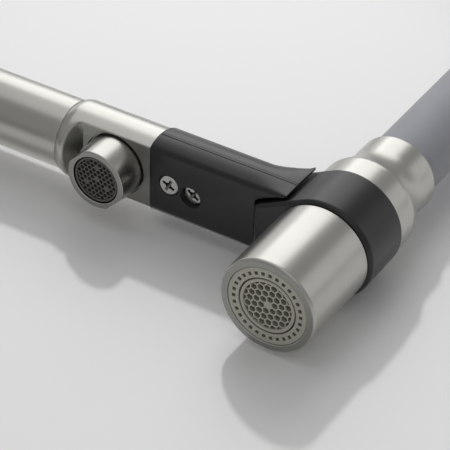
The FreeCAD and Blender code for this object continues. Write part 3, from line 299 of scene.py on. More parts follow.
# Satin nickel: plated brass brushed round its axis. The brush lines are about 0.1 mm apart, and are drawn at
# 0.5 mm so that they show. They give broad soft highlights with a fine streak.
def brushed_nickel(name, axis):
    """Satin nickel brushed round one axis, with X as 0, Y as 1 and Z as 2."""
    material, tree = start_material(name)
    place = add_node(tree, "ShaderNodeTexCoord")
    stretch = [per(30)] * 3
    stretch[axis] = per(0.5)
    grain_place = add_node(tree, "ShaderNodeMapping", Vector=place.outputs["Object"], Scale=stretch)
    grain = add_node(tree, "ShaderNodeTexNoise", Vector=grain_place.outputs["Vector"], Scale=1.0, Detail=4.0)
    handling = add_node(tree, "ShaderNodeTexNoise", Vector=place.outputs["Object"], Scale=per(14), Detail=3.0)
    both = add_node(tree, "ShaderNodeMath", {"operation": "ADD"})
    tree.links.new(grain.outputs["Fac"], both.inputs[0])
    tree.links.new(handling.outputs["Fac"], both.inputs[1])
    rough = add_node(tree, "ShaderNodeMapRange", Value=both.outputs["Value"], From_Min=0.6, From_Max=1.4,
                     To_Min=0.27, To_Max=0.33)
    relief = add_node(tree, "ShaderNodeBump", Height=grain.outputs["Fac"], Strength=0.02, Distance=0.02 * MM)
    shader = add_node(tree, "ShaderNodeBsdfPrincipled", Base_Color=linear("B9B8B3"), Metallic=1.0,
                      Roughness=rough.outputs["Result"], Normal=relief.outputs["Normal"])
    add_node(tree, "ShaderNodeOutputMaterial", Surface=shader.outputs["BSDF"])
    return material


nickel_upright = brushed_nickel("satin nickel brushed round the upright", 2)
flange = turned("deck_flange", [
    (16.6, 0), (21.1, 0), (21.1, 2.5), (24.9, 2.5), (24.9, 0), (28, 0, 0.4), (28, 8, 2.2), (16.6, 8),
], nickel_upright)
seat(flange, "base", "satin_nickel", "base_flange")

# Bare brass turned on an automatic lathe: warm yellow metal with fine tool rings.
brass = uneven_material("turned brass", (20, 20, 0.4), "D8B870", (0.22, 0.4), Metallic=1.0)

# The shank's thread is cut as a helix.
THREAD_PITCH, THREAD_DEPTH, THREAD_STEPS = 2.0, 0.8, 8
SHANK_R, SHANK_BORE, SHANK_SIDES = 16.5, 13.5, 72
SHANK_LOW, SHANK_HIGH = -55.0, 20.0
shank_steps = int((SHANK_HIGH - SHANK_LOW) / THREAD_PITCH * THREAD_STEPS)
verts = []
for height in spread(SHANK_LOW, SHANK_HIGH, shank_steps):
    for angle in circle(SHANK_SIDES):
        phase = (height / THREAD_PITCH - angle / (2 * math.pi)) % 1
        depth = THREAD_DEPTH * max(0, 1 - abs(4 * phase - 2))
        from_end = min(height - SHANK_LOW, SHANK_HIGH - height, 1.0)
        radius = SHANK_R - max(depth, (1 - from_end) * THREAD_DEPTH)
        verts.append(at_angle(radius, angle, height) * MM)
for height in (SHANK_HIGH, SHANK_LOW):
    verts.extend(at_angle(SHANK_BORE, angle, height) * MM for angle in circle(SHANK_SIDES))
shank = make_piece("threaded_shank", verts, faces_between(shank_steps + 3, SHANK_SIDES), brass)
seat(shank, "base", "brass", "mounting_shank")

# The hexagon nut has its corners chamfered on both faces.
NUT_FLATS_HALF, NUT_BORE, NUT_SIDES = 23.0, 16.9, 72
NUT_LOW, NUT_HIGH = -37.0, -25.0
TWELFTH = math.radians(30)
nut_corner = NUT_FLATS_HALF / math.cos(TWELFTH)
nut_rows = [(NUT_LOW, 22.4), (NUT_LOW + 0.6, 23.6), (NUT_LOW + 1.8, nut_corner), (NUT_HIGH - 1.8, nut_corner),
            (NUT_HIGH - 0.6, 23.6), (NUT_HIGH, 22.4), (NUT_HIGH, NUT_BORE), (NUT_LOW, NUT_BORE)]
verts = []
for height, limit in nut_rows:
    for angle in circle(NUT_SIDES):
        from_flat = (angle + TWELFTH) % (2 * TWELFTH) - TWELFTH
        radius = min(limit, NUT_FLATS_HALF / math.cos(from_flat))
        verts.append(at_angle(radius, angle + TWELFTH, height) * MM)
nut = make_piece("deck_nut", verts, faces_between(len(nut_rows), NUT_SIDES), brass)
seat(nut, "base", "brass", "lock_nut")

# Moulded rubber: near black, dull, with a faint bloom.
rubber = uneven_material("black moulded rubber", 5, ("1B1B1B", "2A2A29"), 0.75, detail=4.0, IOR=1.52)
seal_ring = turned("deck_seal_ring", [(16.6, -23), (26, -23, 0.8), (26, -20, 0.8), (16.6, -20)], rubber)
seat(seal_ring, "base", "rubber", "under_deck_seal")

# Zinc-plated steel: a bright pale metal with a fine spangle.
zinc_steel = uneven_material("zinc-plated steel", 0.8, "DADAD5", (0.14, 0.28), Metallic=1.0)
washer = turned("deck_steel_washer", [(16.6, -25), (26, -25, 0.3), (26, -23, 0.3), (16.6, -23)], zinc_steel)
seat(washer, "base", "steel", "deck_washer")

# Column
# A brass casting, turned outside and nickel plated. Two short barrels stand out of it, one for the mixer
# cartridge and one for the filtered-water valve, and its top is the swivel's socket.
SLIVER = 0.002 * MM
BARRELS_AT = (0, 0, 66)
MIXER_WAY, FILTER_WAY = (0, 1, 0), (0, -1, 0)


def settle(piece):
    """Turn a piece's modifiers into plain mesh without slivers and points that only split an edge."""
    bpy.context.view_layer.update()
    graph = bpy.context.evaluated_depsgraph_get()
    mesh = bpy.data.meshes.new_from_object(piece.evaluated_get(graph))
    piece.modifiers.clear()
    piece.data = mesh
    work = bmesh.new()
    work.from_mesh(mesh)
    bmesh.ops.remove_doubles(work, verts=work.verts, dist=SLIVER)
    bmesh.ops.dissolve_degenerate(work, edges=work.edges, dist=SLIVER)
    bmesh.ops.dissolve_verts(work, verts=[vert for vert in work.verts if len(vert.link_edges) == 2])
    work.to_mesh(mesh)
    work.free()
    smooth(mesh)


def carve(piece, tools, operation="DIFFERENCE"):
    """Cut tools out of a piece one by one, or join them to it."""
    for tool in tools:
        step = piece.modifiers.new("carving", "BOOLEAN")
        step.operation = operation
        step.solver = "EXACT"
        step.material_mode = "TRANSFER"
        step.object = tool
        settle(piece)
        bpy.data.objects.remove(tool)
    return piece


column = turned("column", [(0, 8), (23, 8, 0.5), (23, 111, 2.5), (17.5, 118, 0.8), (0, 118)], nickel_upright)
carve(column, [
    turned("mixer_barrel", [(0, 2), (17, 2), (17, 38, 0.3), (0, 38)], nickel_upright, BARRELS_AT, MIXER_WAY),
    turned("filter_barrel", [(0, 2), (13, 2), (13, 34, 0.3), (0, 34)], nickel_upright, BARRELS_AT, FILTER_WAY),
], "UNION")
carve(column, [
    turned("shank_room", [(0, 7), (16.56, 7), (16.56, 20), (0, 20)], nickel_upright),
    turned("swivel_room", [(0, 84), (14.06, 84), (14.06, 119), (0, 119)], nickel_upright),
    turned("cartridge_room", [(0, 7), (12.6, 7), (12.6, 30), (14.06, 30), (14.06, 39), (0, 39)],
           nickel_upright, BARRELS_AT, MIXER_WAY),
    turned("filter_room", [(0, 9), (9.1, 9), (9.1, 35), (0, 35)], nickel_upright, BARRELS_AT, FILTER_WAY),
])
seat(column, "base", "satin_nickel", "valve_body")

# Mixer lever
# A domed cover closes the cartridge barrel. The hub slides over the dome as the lever tilts, and a thin
# plated rod stands in the hub, held by a grub screw.
DOME_AT, DOME_STEPS = (0, 38, 66), 12
DOME_OUT, DOME_IN, DOME_HOLE = 17, 15, 11
HUB_R, HUB_HOLLOW = 16.2, 17.5
HUB_BORE_ANGLE = 0.18


def arc(radius, first, last):
    """Points of radius and height on an arc in a turned outline."""
    return [(radius * math.cos(a), radius * math.sin(a)) for a in spread(first, last, DOME_STEPS)]


nickel_sideways = brushed_nickel("satin nickel brushed round the side barrels", 1)
dome = turned("cartridge_dome", arc(DOME_OUT, 0, math.acos(DOME_HOLE / DOME_OUT))
              + arc(DOME_IN, math.acos(DOME_HOLE / DOME_IN), 0), nickel_sideways, DOME_AT, MIXER_WAY)
seat(dome, "base", "satin_nickel", "mixer_dome")

hub = turned("mixer_lever_hub", [
    *arc(HUB_HOLLOW, math.pi / 2 - HUB_BORE_ANGLE, math.acos(HUB_R / HUB_HOLLOW)),
    (HUB_R, 25, 1.8), (0, 25), (0, 22), (3.16, 22),
], nickel_sideways, DOME_AT, MIXER_WAY)
seat(hub, "mixer_handle", "satin_nickel", "mixer_hub")
lever = turned("mixer_lever_rod", [(0, 0), (3.5, 0), (3.5, 70.2, 1.6), (0, 70.2)], nickel_upright,
               at=(0, 58.8, 74), sides=64)
seat(lever, "mixer_handle", "satin_nickel", "mixer_lever")

# Filtered-water lever
# A quarter-turn valve with a trim ring, a short round hub and a thin rod, plated as the rest. The hub is held
# on the valve's spindle by a grub screw, and the rod stands in the hub.
trim = turned("filter_trim_ring", [(4.3, 34), (13, 34, 0.3), (13, 36, 0.6), (4.3, 36)], nickel_sideways,
              BARRELS_AT, FILTER_WAY)
seat(trim, "base", "satin_nickel", "filter_collar")
filter_knob = turned("filter_lever_hub", [
    (4.06, 36.3), (12.5, 36.3, 0.5), (12.5, 50.3, 1.5), (0, 50.3), (0, 48.36), (4.06, 48.36),
], nickel_sideways, BARRELS_AT, FILTER_WAY)
seat(filter_knob, "filter_handle", "satin_nickel", "filter_hub")
filter_rod = turned("filter_lever_rod", [(0, 0), (3, 0), (3, 51.5, 1.4), (0, 51.5)], nickel_upright,
                    at=(0, -43.3, 72), sides=64)
seat(filter_rod, "filter_handle", "satin_nickel", "filter_lever")

# Riser and arm
# Drawn tubes, brushed and plated. A boss brazed on the riser holds the arm, and a collar with a taper closes
# the riser round the hose.
ARM_Z = 255.0
ARM_AT, ARM_WAY = (0, 0, ARM_Z), (1, 0, 0)
riser = turned("riser", [(12.5, 121), (15, 121, 0.5), (15, 275, 0.15), (12.5, 275)], nickel_upright)
boss = turned("arm_boss", [(0, 0), (13.8, 0), (13.8, 30, 0.6), (0, 30)], nickel_upright, ARM_AT, ARM_WAY)
carve(riser, [boss], "UNION")
carve(riser, [
    turned("riser_room", [(0, 120), (12.5, 120), (12.5, 276), (0, 276)], nickel_upright),
    turned("arm_room", [(0, 0), (12.12, 0), (12.12, 31), (0, 31)], nickel_upright, ARM_AT, ARM_WAY),
])
seat(riser, "spout", "satin_nickel", "riser_tube")
collar = turned("riser_collar", [
    (7.96, 269), (12.44, 269), (12.44, 275), (15, 275, 0.15), (15, 284, 3), (14.1, 289, 3), (14.1, 295, 0.5),
    (12.1, 295), (12.1, 283), (7.96, 283),
], nickel_upright)
seat(collar, "spout", "satin_nickel", "hose_collar")
nickel_level = brushed_nickel("satin nickel brushed round the arm", 0)
arm = turned("arm", [(10.56, 13.75), (12.06, 13.75), (12.06, 151.6, 0.3), (10.56, 151.6)], nickel_level,
             ARM_AT, ARM_WAY)
seat(arm, "spout", "satin_nickel", "arm_tube")

# Arm end
# A brass casting on a spigot in the arm tube. It swells from the seam, and its underside is milled flat, with a
# scallop round the filtered-water outlet that has a rounded rim and a leaning wall. A tongue carries the dock.
OUTLET_X = 171.4
FLAT_DROP = 6.4
CASTING_R = 13.3
CASTING_FROM, CASTING_TO = 151.65, 185.0
SWELL_R, SWELL_TO = 5.7, 155.2
SCALLOP_REACH, SCALLOP_HALF, SQUARENESS, MOST_ASIDE = 16.2, 13.6, 4, 0.99
RIM_ROUND, RIM_OUT, WALL_LEAN = 1.6, 1.1, math.radians(59.5)
EDGE_ROUND, EDGE_MILLED, END_GAP = 0.2, 0.3, 0.01
LOWER_SIDE, DOWNWARD = 0.1, -0.97
SEAM_STEPS, RIM_STEPS, FLAT_STEPS = 14, 7, 5


def block(name, low, high, material):
    """A box between two corners in mm, to cut with."""
    verts = [Vector((x, y, z)) * MM for z in (low[2], high[2])
             for x, y in (low[:2], (high[0], low[1]), high[:2], (low[0], high[1]))]
    return make_piece(name, verts, faces_between(2, 4, closed=False), material)


def scallop_end(aside, outside):
    """Where the scallop's end lies along the arm, in mm: square with rounded corners, grown outwards."""
    square = (1 - min(abs(aside) / SCALLOP_HALF, MOST_ASIDE)**SQUARENESS)**(1 / SQUARENESS)
    return OUTLET_X - (SCALLOP_REACH + outside) * square


def casting_radius(along):
    """The casting's outer radius, which swells from the seam."""
    return CASTING_R - SWELL_R + math.sqrt(SWELL_R**2 - max(SWELL_TO - along, 0)**2)


# Each line along the casting goes from the seam over the scallop's rounded rim and leaning wall to the flat. A
# row of (distance outside the scallop's end, share of the full depth) gives the rim and the wall. The lines lie
# closer together beside the flat's edges.
full_depth = CASTING_R - FLAT_DROP
rim_share = RIM_ROUND * (1 - math.cos(WALL_LEAN)) / full_depth
wall_from = RIM_OUT - RIM_ROUND * math.sin(WALL_LEAN)
wall_run = full_depth * (1 - rim_share) / math.tan(WALL_LEAN)
scallop_rows = [(RIM_OUT - RIM_ROUND * math.sin(a), RIM_ROUND * (1 - math.cos(a)) / full_depth)
                for a in spread(0, WALL_LEAN, RIM_STEPS)]
scallop_rows += [(wall_from - wall_run * share, rim_share + share * (1 - rim_share))
                 for share in (0.34, 0.67, 0.92, 1)]
flat_edge = math.degrees(math.acos(FLAT_DROP / CASTING_R))
half_turn = spread(0, flat_edge - 2, 30) + [flat_edge + k for k in (-1.2, -0.7, -0.3, 0, 0.3, 0.7, 1.2)]
half_turn += spread(flat_edge + 2, 180, 42)
turns = half_turn + [-a for a in reversed(half_turn[1:-1])]
lines = []
for turn_deg in turns:
    angle = math.radians(turn_deg)
    depth = 0.0
    if math.cos(angle) > LOWER_SIDE:
        cut = CASTING_R - FLAT_DROP / math.cos(angle)
        depth = (cut + math.sqrt(cut * cut + EDGE_ROUND**2)) / 2
    section = []
    for outside, share in scallop_rows:
        along = SWELL_TO
        for _ in range(4):
            radius = casting_radius(along) - share * depth
            along = scallop_end(radius * math.sin(angle), outside)
        section.append((along, radius))
    (first, _), (last, flat_r) = section[0], section[-1]
    section = [(x, casting_radius(x)) for x in spread(CASTING_FROM, first, SEAM_STEPS)[:-1]] + section
    section += [(x, flat_r) for x in spread(last, CASTING_TO, FLAT_STEPS)[1:]]
    lines.append([Vector((x, r * math.sin(angle), ARM_Z - r * math.cos(angle))) * MM for x, r in section])
verts = [point for ring in zip(*lines) for point in ring]
arm_end = make_piece("arm_end_casting", verts, faces_between(len(lines[0]), len(turns), closed=False), nickel_level)
tongue = turned("tongue", [(0, 180), (11.4, 180), (11.4, 210), (0, 210)], nickel_level, ARM_AT, ARM_WAY)
carve(tongue, [block("tongue_flat", (179, -20, 230), (212, 20, 252.5), nickel_level)])
spigot = turned("spigot", [(0, 136.65), (10.5, 136.65), (10.5, 153), (0, 153)], nickel_level, ARM_AT, ARM_WAY)
carve(arm_end, [tongue, spigot], "UNION")
carve(arm_end, [turned("outlet_recess", [
    (0, 240), (11.25, 240), (11.25, 250.1), (8.56, 250.1), (8.56, 263.3), (0, 263.3),
], nickel_level, at=(OUTLET_X, 0, 0))])

# Milled nickel: the plated undersides that were faced with a cutter and not brushed, with cutter marks about 0.3 mm
# apart, drawn at 0.6 mm so that they show. Its grey is painted darker than the brushed skin as painted shade, for
# faces in shade.
milled_nickel_painted_shade = uneven_material("milled satin nickel painted darker for shade", (0.6, 12, 12), "949490", (0.26, 0.4), Metallic=1.0)


def looks_down(face):
    """Whether a face is part of a piece's flat underside."""
    return face.normal.z < DOWNWARD


def in_scallop(face):
    """Whether a face is on the scallop's wall or on the flat, inside the rounded rim."""
    along, aside, up = face.center / MM
    sunk = CASTING_R - math.hypot(aside, ARM_Z - up)
    return up < ARM_Z and sunk > EDGE_MILLED and scallop_end(aside, wall_from) < along < CASTING_TO - END_GAP


def mill_and_shade(piece, milled_and_shaded=looks_down):
    """Give the faces that a cutter went over the milled finish, whose darker grey is painted shade."""
    piece.data.materials.append(milled_nickel_painted_shade)
    for face in piece.data.polygons:
        if milled_and_shaded(face):
            face.material_index = len(piece.data.materials) - 1


# The scallop's wall and flat get the milled finish, painted darker as painted shade.
mill_and_shade(arm_end, in_scallop)
seat(arm_end, "spout", "satin_nickel", "arm_end")

# Filtered-water outlet
# A turned brass cap with two wrench flats screws up into the casting. A grey moulded insert with a screen of
# six-sided cells straightens the stream, and stands in a dark ring gap.
OUTLET_AT = (OUTLET_X, 0, 237.45)
FLATS_HALF, FLATS_HIGH, FLATS_TURN = 9.7, 6, 45
cap = turned("outlet_cap", [
    (8.49, 0, 0.3), (10.6, 0, 0.45), (10.6, 11.65, 0.2), (8.5, 11.65), (8.5, 15.95), (5, 15.95), (5, 8), (8.49, 8),
], nickel_upright, OUTLET_AT)
for turn_deg in (FLATS_TURN, FLATS_TURN + 180):
    cutter = block("wrench_flat", (FLATS_HALF, -14, -1), (14, 14, FLATS_HIGH), nickel_upright)
    cutter.matrix_world = (Matrix.Translation(Vector(OUTLET_AT) * MM)
                           @ Matrix.Rotation(math.radians(turn_deg), 4, "Z"))
    carve(cap, [cutter])
# The cap's downward end face gets the milled finish, painted darker as painted shade.
mill_and_shade(cap)
seat(cap, "spout", "satin_nickel", "outlet_housing")

CELL_LIP, BACK_WALL = 0.12, 0.2
UNDER_RIM, BLANK_IN, RIM_EDGE = 0.45, 0.4, 0.25


def screen(name, material, at, radius, rim, rim_top, web_top, pitch, web, depth, turn_deg, filled):
    """A round insert: a raised rim about a sunken screen of six-sided cells, facing down.

    All sizes are in mm. Each cell goes from its outline over a small lip down to its floor, and the cells in
    filled, each given as its number in the row and its row, are left flat.
    """
    base = Vector(at)
    inner_side = (pitch - web) / math.sqrt(3)
    cell_levels = [(pitch / math.sqrt(3), web_top), (inner_side + CELL_LIP, web_top),
                   (inner_side, web_top + CELL_LIP), (inner_side, depth)]
    swing = Matrix.Rotation(math.radians(turn_deg), 2)
    corners = [swing @ at_angle(1, angle + TWELFTH).to_2d() for angle in circle(6)]
    most = math.ceil(radius / pitch) + 1
    verts, faces = [], []
    for row in range(-most, most + 1):
        for number in range(-2 * most, 2 * most + 1):
            middle = swing @ Vector((pitch * (number + row / 2), pitch * row * math.sqrt(3) / 2))
            if middle.length > radius - rim + UNDER_RIM * pitch:
                continue
            levels = cell_levels[:1] if (number, row) in filled else cell_levels
            for level, (side, height) in enumerate(levels):
                start = len(verts)
                verts.extend((base + (middle + c * side).to_3d() + Vector((0, 0, height))) * MM for c in corners)
                if level:
                    faces.extend((start - 6 + k, start - 6 + (k + 1) % 6, start + (k + 1) % 6, start + k)
                                 for k in range(6))
            faces.append(tuple(range(start, start + 6)))
    field = make_piece(name, verts, faces, material)

    # The sheet of cells gets a back, is cut round and joins the rim.
    work = bmesh.new()
    work.from_mesh(field.data)
    edges = [edge for edge in work.edges if edge.is_boundary]
    for part in bmesh.ops.extrude_edge_only(work, edges=edges)["geom"]:
        if isinstance(part, bmesh.types.BMVert):
            part.co.z = (base.z + depth + BACK_WALL) * MM
    bmesh.ops.holes_fill(work, edges=[edge for edge in work.edges if edge.is_boundary])
    bmesh.ops.recalc_face_normals(work, faces=work.faces)
    work.to_mesh(field.data)
    work.free()
    blank_r, edge, rim_back = radius - BLANK_IN * rim, RIM_EDGE * rim, depth + BACK_WALL / 2
    carve(field, [turned("blank", [
        (0, -1), (blank_r, -1), (blank_r, depth + 1), (0, depth + 1),
    ], material, at)], "INTERSECT")
    return carve(field, [turned("rim", [
        (radius - rim, rim_top, edge), (radius, rim_top, edge), (radius, rim_back), (radius - rim, rim_back),
    ], material, at)], "UNION")


# Dark acetal of the insert: dull, slightly mottled moulding.
dark_acetal = uneven_material("dark grey moulded acetal", 1.2, ("4A4847", "605E5C"), 0.5, IOR=1.48)
insert = screen("outlet_screen", dark_acetal, OUTLET_AT, radius=8.1, rim=0.75, rim_top=0.5, web_top=0.85,
                pitch=1.7, web=0.5, depth=3.2, turn_deg=12, filled={(0, 0), (2, 1), (-3, 2), (1, -3)})
seat(insert, "spout", "grey_plastic", "outlet_insert")

# Dock bracket
# A black plastic moulding in two shells, pushed over the arm's tongue and held by two screws. Its round back
# flares to a square fork whose notch takes the docking ring's nose, and a magnet sits behind the notch.
BRACKET_R, BRACKET_DROP, BACK_CORNER = 13.85, 6.8, 2.6
FORK_HALF, FORK_TOP, FORK_SOLE, FORK_CORNER = 13.7, 10.9, 7.8, 0.7
BRACKET_FROM, FLARE_FROM, BRACKET_TO = 185.0, 221.5, 235.9
FLARE_STEPS, FLARE_POWER = 18, 1.5
PARTING_HALF, PARTING_DEPTH = 0.15, 0.06
EDGE_WIDTH, EDGE_ANGLE = 0.5, math.radians(40)

# Matte black ABS with a fine spark-eroded grain, about 0.2 mm, drawn at 0.5 mm so that it shows.
black_abs = uneven_material("matte black moulded ABS", 8, "141415", (0.3, 0.42), IOR=1.53)
add_skin(black_abs, 0.5, 0.25, 0.03)


def flat_at(radius, angle):
    """A point across and up, at a radius and an angle."""
    return Vector((radius * math.cos(angle), radius * math.sin(angle)))


def bracket_section(share):
    """One section's points across and up, from a round back at share 0 to a square block at share 1.

    The flat underside meets the side in a rounded corner, and a fine parting line runs along mid-height.
    """
    turn_high = math.atan2(FORK_TOP, FORK_HALF)
    half_line = PARTING_HALF / BRACKET_R
    low = BACK_CORNER - BRACKET_DROP
    middle = Vector((math.sqrt((BRACKET_R - BACK_CORNER)**2 - low**2), low))
    lean = math.atan2(middle.y, middle.x)
    round_half = [middle + flat_at(BACK_CORNER, a) for a in spread(-math.pi / 2, lean, 6)]
    round_half += [flat_at(BRACKET_R, a) for a in spread(lean, -half_line, 6)[1:]]
    round_half += [flat_at(BRACKET_R - PARTING_DEPTH, 0)]
    round_half += [flat_at(BRACKET_R, a) for a in spread(half_line, turn_high, 8)]
    round_half += [flat_at(BRACKET_R, a) for a in spread(turn_high, math.pi / 2, 8)[1:]]

    low = FORK_CORNER - FORK_SOLE
    middle = Vector((FORK_HALF - FORK_CORNER, low))
    block_half = [middle + flat_at(FORK_CORNER, a) for a in spread(-math.pi / 2, 0, 6)]
    block_half += [Vector((FORK_HALF, up)) for up in spread(low, -PARTING_HALF, 6)[1:]]
    block_half += [Vector((FORK_HALF - PARTING_DEPTH, 0))]
    block_half += [Vector((FORK_HALF, up)) for up in spread(PARTING_HALF, FORK_TOP, 8)]
    block_half += [Vector((across, FORK_TOP)) for across in spread(FORK_HALF, 0, 8)[1:]]

    half = [a.lerp(b, share) for a, b in zip(round_half, block_half)]
    return half + [Vector((-p.x, p.y)) for p in reversed(half[:-1])]


stations = [BRACKET_FROM] + spread(FLARE_FROM, BRACKET_TO, FLARE_STEPS)
verts = []
for station in stations:
    run = max((station - FLARE_FROM) / (BRACKET_TO - FLARE_FROM), 0)
    verts.extend(Vector((station, p.x, ARM_Z + p.y)) * MM for p in bracket_section(run**FLARE_POWER))
around = len(verts) // len(stations)
bracket = make_piece("dock_fork", verts, faces_between(len(stations), around, closed=False), black_abs)

HEAD_X = 250.0
RING_R = 17.6
NOSE_X, NOSE_HALF, NOSE_CORNER, NOSE_BEND = 24.8, 7.0, 1.0, 0.3
NOTCH_GAP, NOTCH_LOW, NOTCH_HIGH = 0.75, 240, 280
ARC_STEPS = 96
touch = math.atan2(NOSE_HALF, NOSE_X) + math.acos(RING_R / math.hypot(NOSE_X, NOSE_HALF))


def teardrop(grow):
    """The docking ring's outline, grown by some mm, with its nose towards the column."""
    radius, nose = RING_R + grow, NOSE_X + grow
    tip = Vector((nose, (radius - nose * math.cos(touch)) / math.sin(touch)))
    flank = (flat_at(radius, touch) - tip).normalized() * NOSE_CORNER
    inwards = Vector((0, -NOSE_CORNER))
    bend = [tip + flank, tip + NOSE_BEND * (flank + inwards), tip + inwards]
    bend += [Vector((p.x, -p.y)) for p in reversed(bend)]
    arc_points = [flat_at(radius, a) for a in spread(touch, 2 * math.pi - touch, ARC_STEPS)]
    return [Vector((-p.x, p.y)) for p in arc_points + bend[::-1]]


def teardrop_stack(levels):
    """Points of outlines stacked at heights in mm, each grown by some mm."""
    return [Vector((HEAD_X + p.x, p.y, height)) * MM for height, grow in levels for p in teardrop(grow)]


def soften(piece, width, sharper_than):
    """Round a piece's edges by a width in mm where they are sharper than an angle."""
    step = piece.modifiers.new("softening", "BEVEL")
    step.width = width * MM
    step.segments = 3
    step.limit_method = "ANGLE"
    step.angle_limit = sharper_than
    step.use_clamp_overlap = False
    settle(piece)


SCREWS = ((192.4, 0, 248.2), (200.5, 1.7, 250.2))
WELL_R, HOLE_R, HEAD_ROOM = 3.6, 1.6, 1.6
outline_count = len(teardrop(0))
tongue_room = turned("tongue_room", [(0, 180), (11.5, 180), (11.5, 210.1), (0, 210.1)], black_abs, ARM_AT, ARM_WAY)
carve(tongue_room, [block("tongue_under", (170, -20, 230), (220, 20, 252.4), black_abs)])
carve(bracket, [
    make_piece("notch", teardrop_stack([(NOTCH_LOW, NOTCH_GAP), (NOTCH_HIGH, NOTCH_GAP)]),
               faces_between(2, outline_count, closed=False), black_abs),
    tongue_room,
    turned("magnet_room", [(0, 209), (4.56, 209), (4.56, 222.75), (0, 222.75)], black_abs, ARM_AT, ARM_WAY),
])
for across, aside, head_z in SCREWS:
    carve(bracket, [turned("screw_well", [
        (0, 240), (WELL_R, 240), (WELL_R, head_z + HEAD_ROOM), (HOLE_R, head_z + HEAD_ROOM), (HOLE_R, 256), (0, 256),
    ], black_abs, at=(across, aside, 0), sides=64)])
soften(bracket, EDGE_WIDTH, EDGE_ANGLE)
seat(bracket, "spout", "black_plastic", "dock_bracket")

# Dock screws
# Two cross-recess screws of zinc-plated steel that go through the bracket into the arm's tongue. The first is
# flush with the bracket, and the second sits deeper.
SCREW_HEAD_R, SCREW_HEAD, SHAFT_R, SHAFT_END = 3.4, 1.5, 1.5, 9
RECESS_HALF, RECESS_WIDE, RECESS_DEEP = 2.35, 0.5, 1.4
RECESS_ABOVE = -0.5
RECESS_TURN = (26, 33)

# Steel inside the punched recess, painted darker than the zinc as painted shade in the deep cross, with a punched
# shine.
shaded_recess_steel = uneven_material("recess steel painted dark for shade", 0.6, "6E6E68", (0.16, 0.3), detail=2.0, Metallic=1.0)
screw_pair = []
for number, place in enumerate(SCREWS):
    screw = turned(f"dock_screw_{number}", [
        (0, 0), (SCREW_HEAD_R - 0.25, 0), (SCREW_HEAD_R, 0.25), (SCREW_HEAD_R, SCREW_HEAD), (SHAFT_R, SCREW_HEAD),
        (SHAFT_R, SHAFT_END), (0, SHAFT_END),
    ], zinc_steel, place, sides=64)
    # The recess cuts carry the dark steel into the head, so the cross gets painted shade.
    carve(screw, [turned("recess_middle", [(0, RECESS_ABOVE), (1.3, RECESS_ABOVE), (0.6, 1.3), (0, 1.45)],
                         shaded_recess_steel, place, sides=16)])
    for turn_deg in (RECESS_TURN[number], RECESS_TURN[number] + 90):
        punch_ends = ((RECESS_ABOVE, RECESS_HALF + 0.5, RECESS_WIDE + 0.08),
                      (RECESS_DEEP, RECESS_HALF - 1.4, RECESS_WIDE - 0.2))
        verts = [Vector((x * long_half, y * short_half, height)) * MM
                 for height, long_half, short_half in punch_ends for x, y in ((-1, -1), (1, -1), (1, 1), (-1, 1))]
        punch = make_piece("recess", verts, faces_between(2, 4, closed=False), shaded_recess_steel)
        punch.matrix_world = (Matrix.Translation(Vector(place) * MM)
                              @ Matrix.Rotation(math.radians(turn_deg), 4, "Z"))
        carve(screw, [punch])
    screw_pair.append(screw)
screws, second_screw = screw_pair
work = bmesh.new()
for screw in screw_pair:
    work.from_mesh(screw.data)
work.to_mesh(screws.data)
work.free()
smooth(screws.data)
bpy.data.objects.remove(second_screw)
screws.name = "dock_screw_pair"
seat(screws, "spout", "steel", "dock_screws")

# Spray head: docking ring
# A black moulded ring with a flat nose that sits in the fork's notch. It is chamfered at its lower edge and
# clamped between the barrel and the neck.
FACE_Z = 212.7
HEAD_AT = (HEAD_X, 0, FACE_Z)
RING_LOW, RING_HIGH, RING_BORE = FACE_Z + 32.9, FACE_Z + 52.8, 15.26
ring_levels = [(RING_LOW, -1.5), (RING_LOW, -1.1), (RING_LOW + 0.25, -0.75), (RING_LOW + 0.9, -0.12),
               (RING_LOW + 1.2, 0.0), (RING_LOW + 1.6, 0.0), (RING_HIGH - 1.0, 0.0), (RING_HIGH - 0.6, 0.0),
               (RING_HIGH - 0.18, -0.15), (RING_HIGH, -0.5), (RING_HIGH, -0.9)]
verts = teardrop_stack(ring_levels)
for height in (RING_HIGH, RING_LOW):
    for p in teardrop(0):
        bore = p.normalized() * RING_BORE
        verts.append(Vector((HEAD_X + bore.x, bore.y, height)) * MM)
dock_ring = make_piece("docking_ring", verts, faces_between(len(ring_levels) + 2, outline_count), black_abs)
seat(dock_ring, "spray_head", "black_plastic", "dock_ring")

# Spray head: neck
# A turned brass ferrule, brushed and plated. From a rounded shoulder it narrows in a hollow curve to the cup
# round the hose's end, and its foot is clamped on the docking ring.
NECK_R, CUP_R = 16.9, 13.7
SHOULDER_Z, HOLLOW_LEN = 62.2, 12.5
neck_hollow = [(CUP_R + (NECK_R - CUP_R) * (1 - run)**2, SHOULDER_Z + HOLLOW_LEN * run)
               for run in spread(0, 1, 24)[4:]]
neck = turned("spray_neck_ferrule", [
    (15.2, 52.9), (NECK_R, 52.9, 0.3), (NECK_R, SHOULDER_Z, 5), *neck_hollow, (CUP_R, 82.3, 0.5), (12.1, 82.3),
    (12.1, 67.65), (15.2, 62.84),
], nickel_upright, HEAD_AT)
seat(neck, "spray_head", "satin_nickel", "spray_neck")

# Spray head: nozzle barrel
# A brass shell turned and brushed round its axis, with a flat bezel round the spray face. It turns on the
# head's core to change the spray.
barrel = turned("spray_barrel", [
    (13.75, 0, 0.3), (16.5, 0, 0.9), (16.5, 32.6, 0.3), (15.2, 32.6), (15.2, 1.6), (13.75, 1.6),
], nickel_upright, HEAD_AT, sides=192)
# The bezel facing down gets the milled finish, painted darker as painted shade.
mill_and_shade(barrel)
seat(barrel, "spray_nozzle", "satin_nickel", "nozzle_barrel")

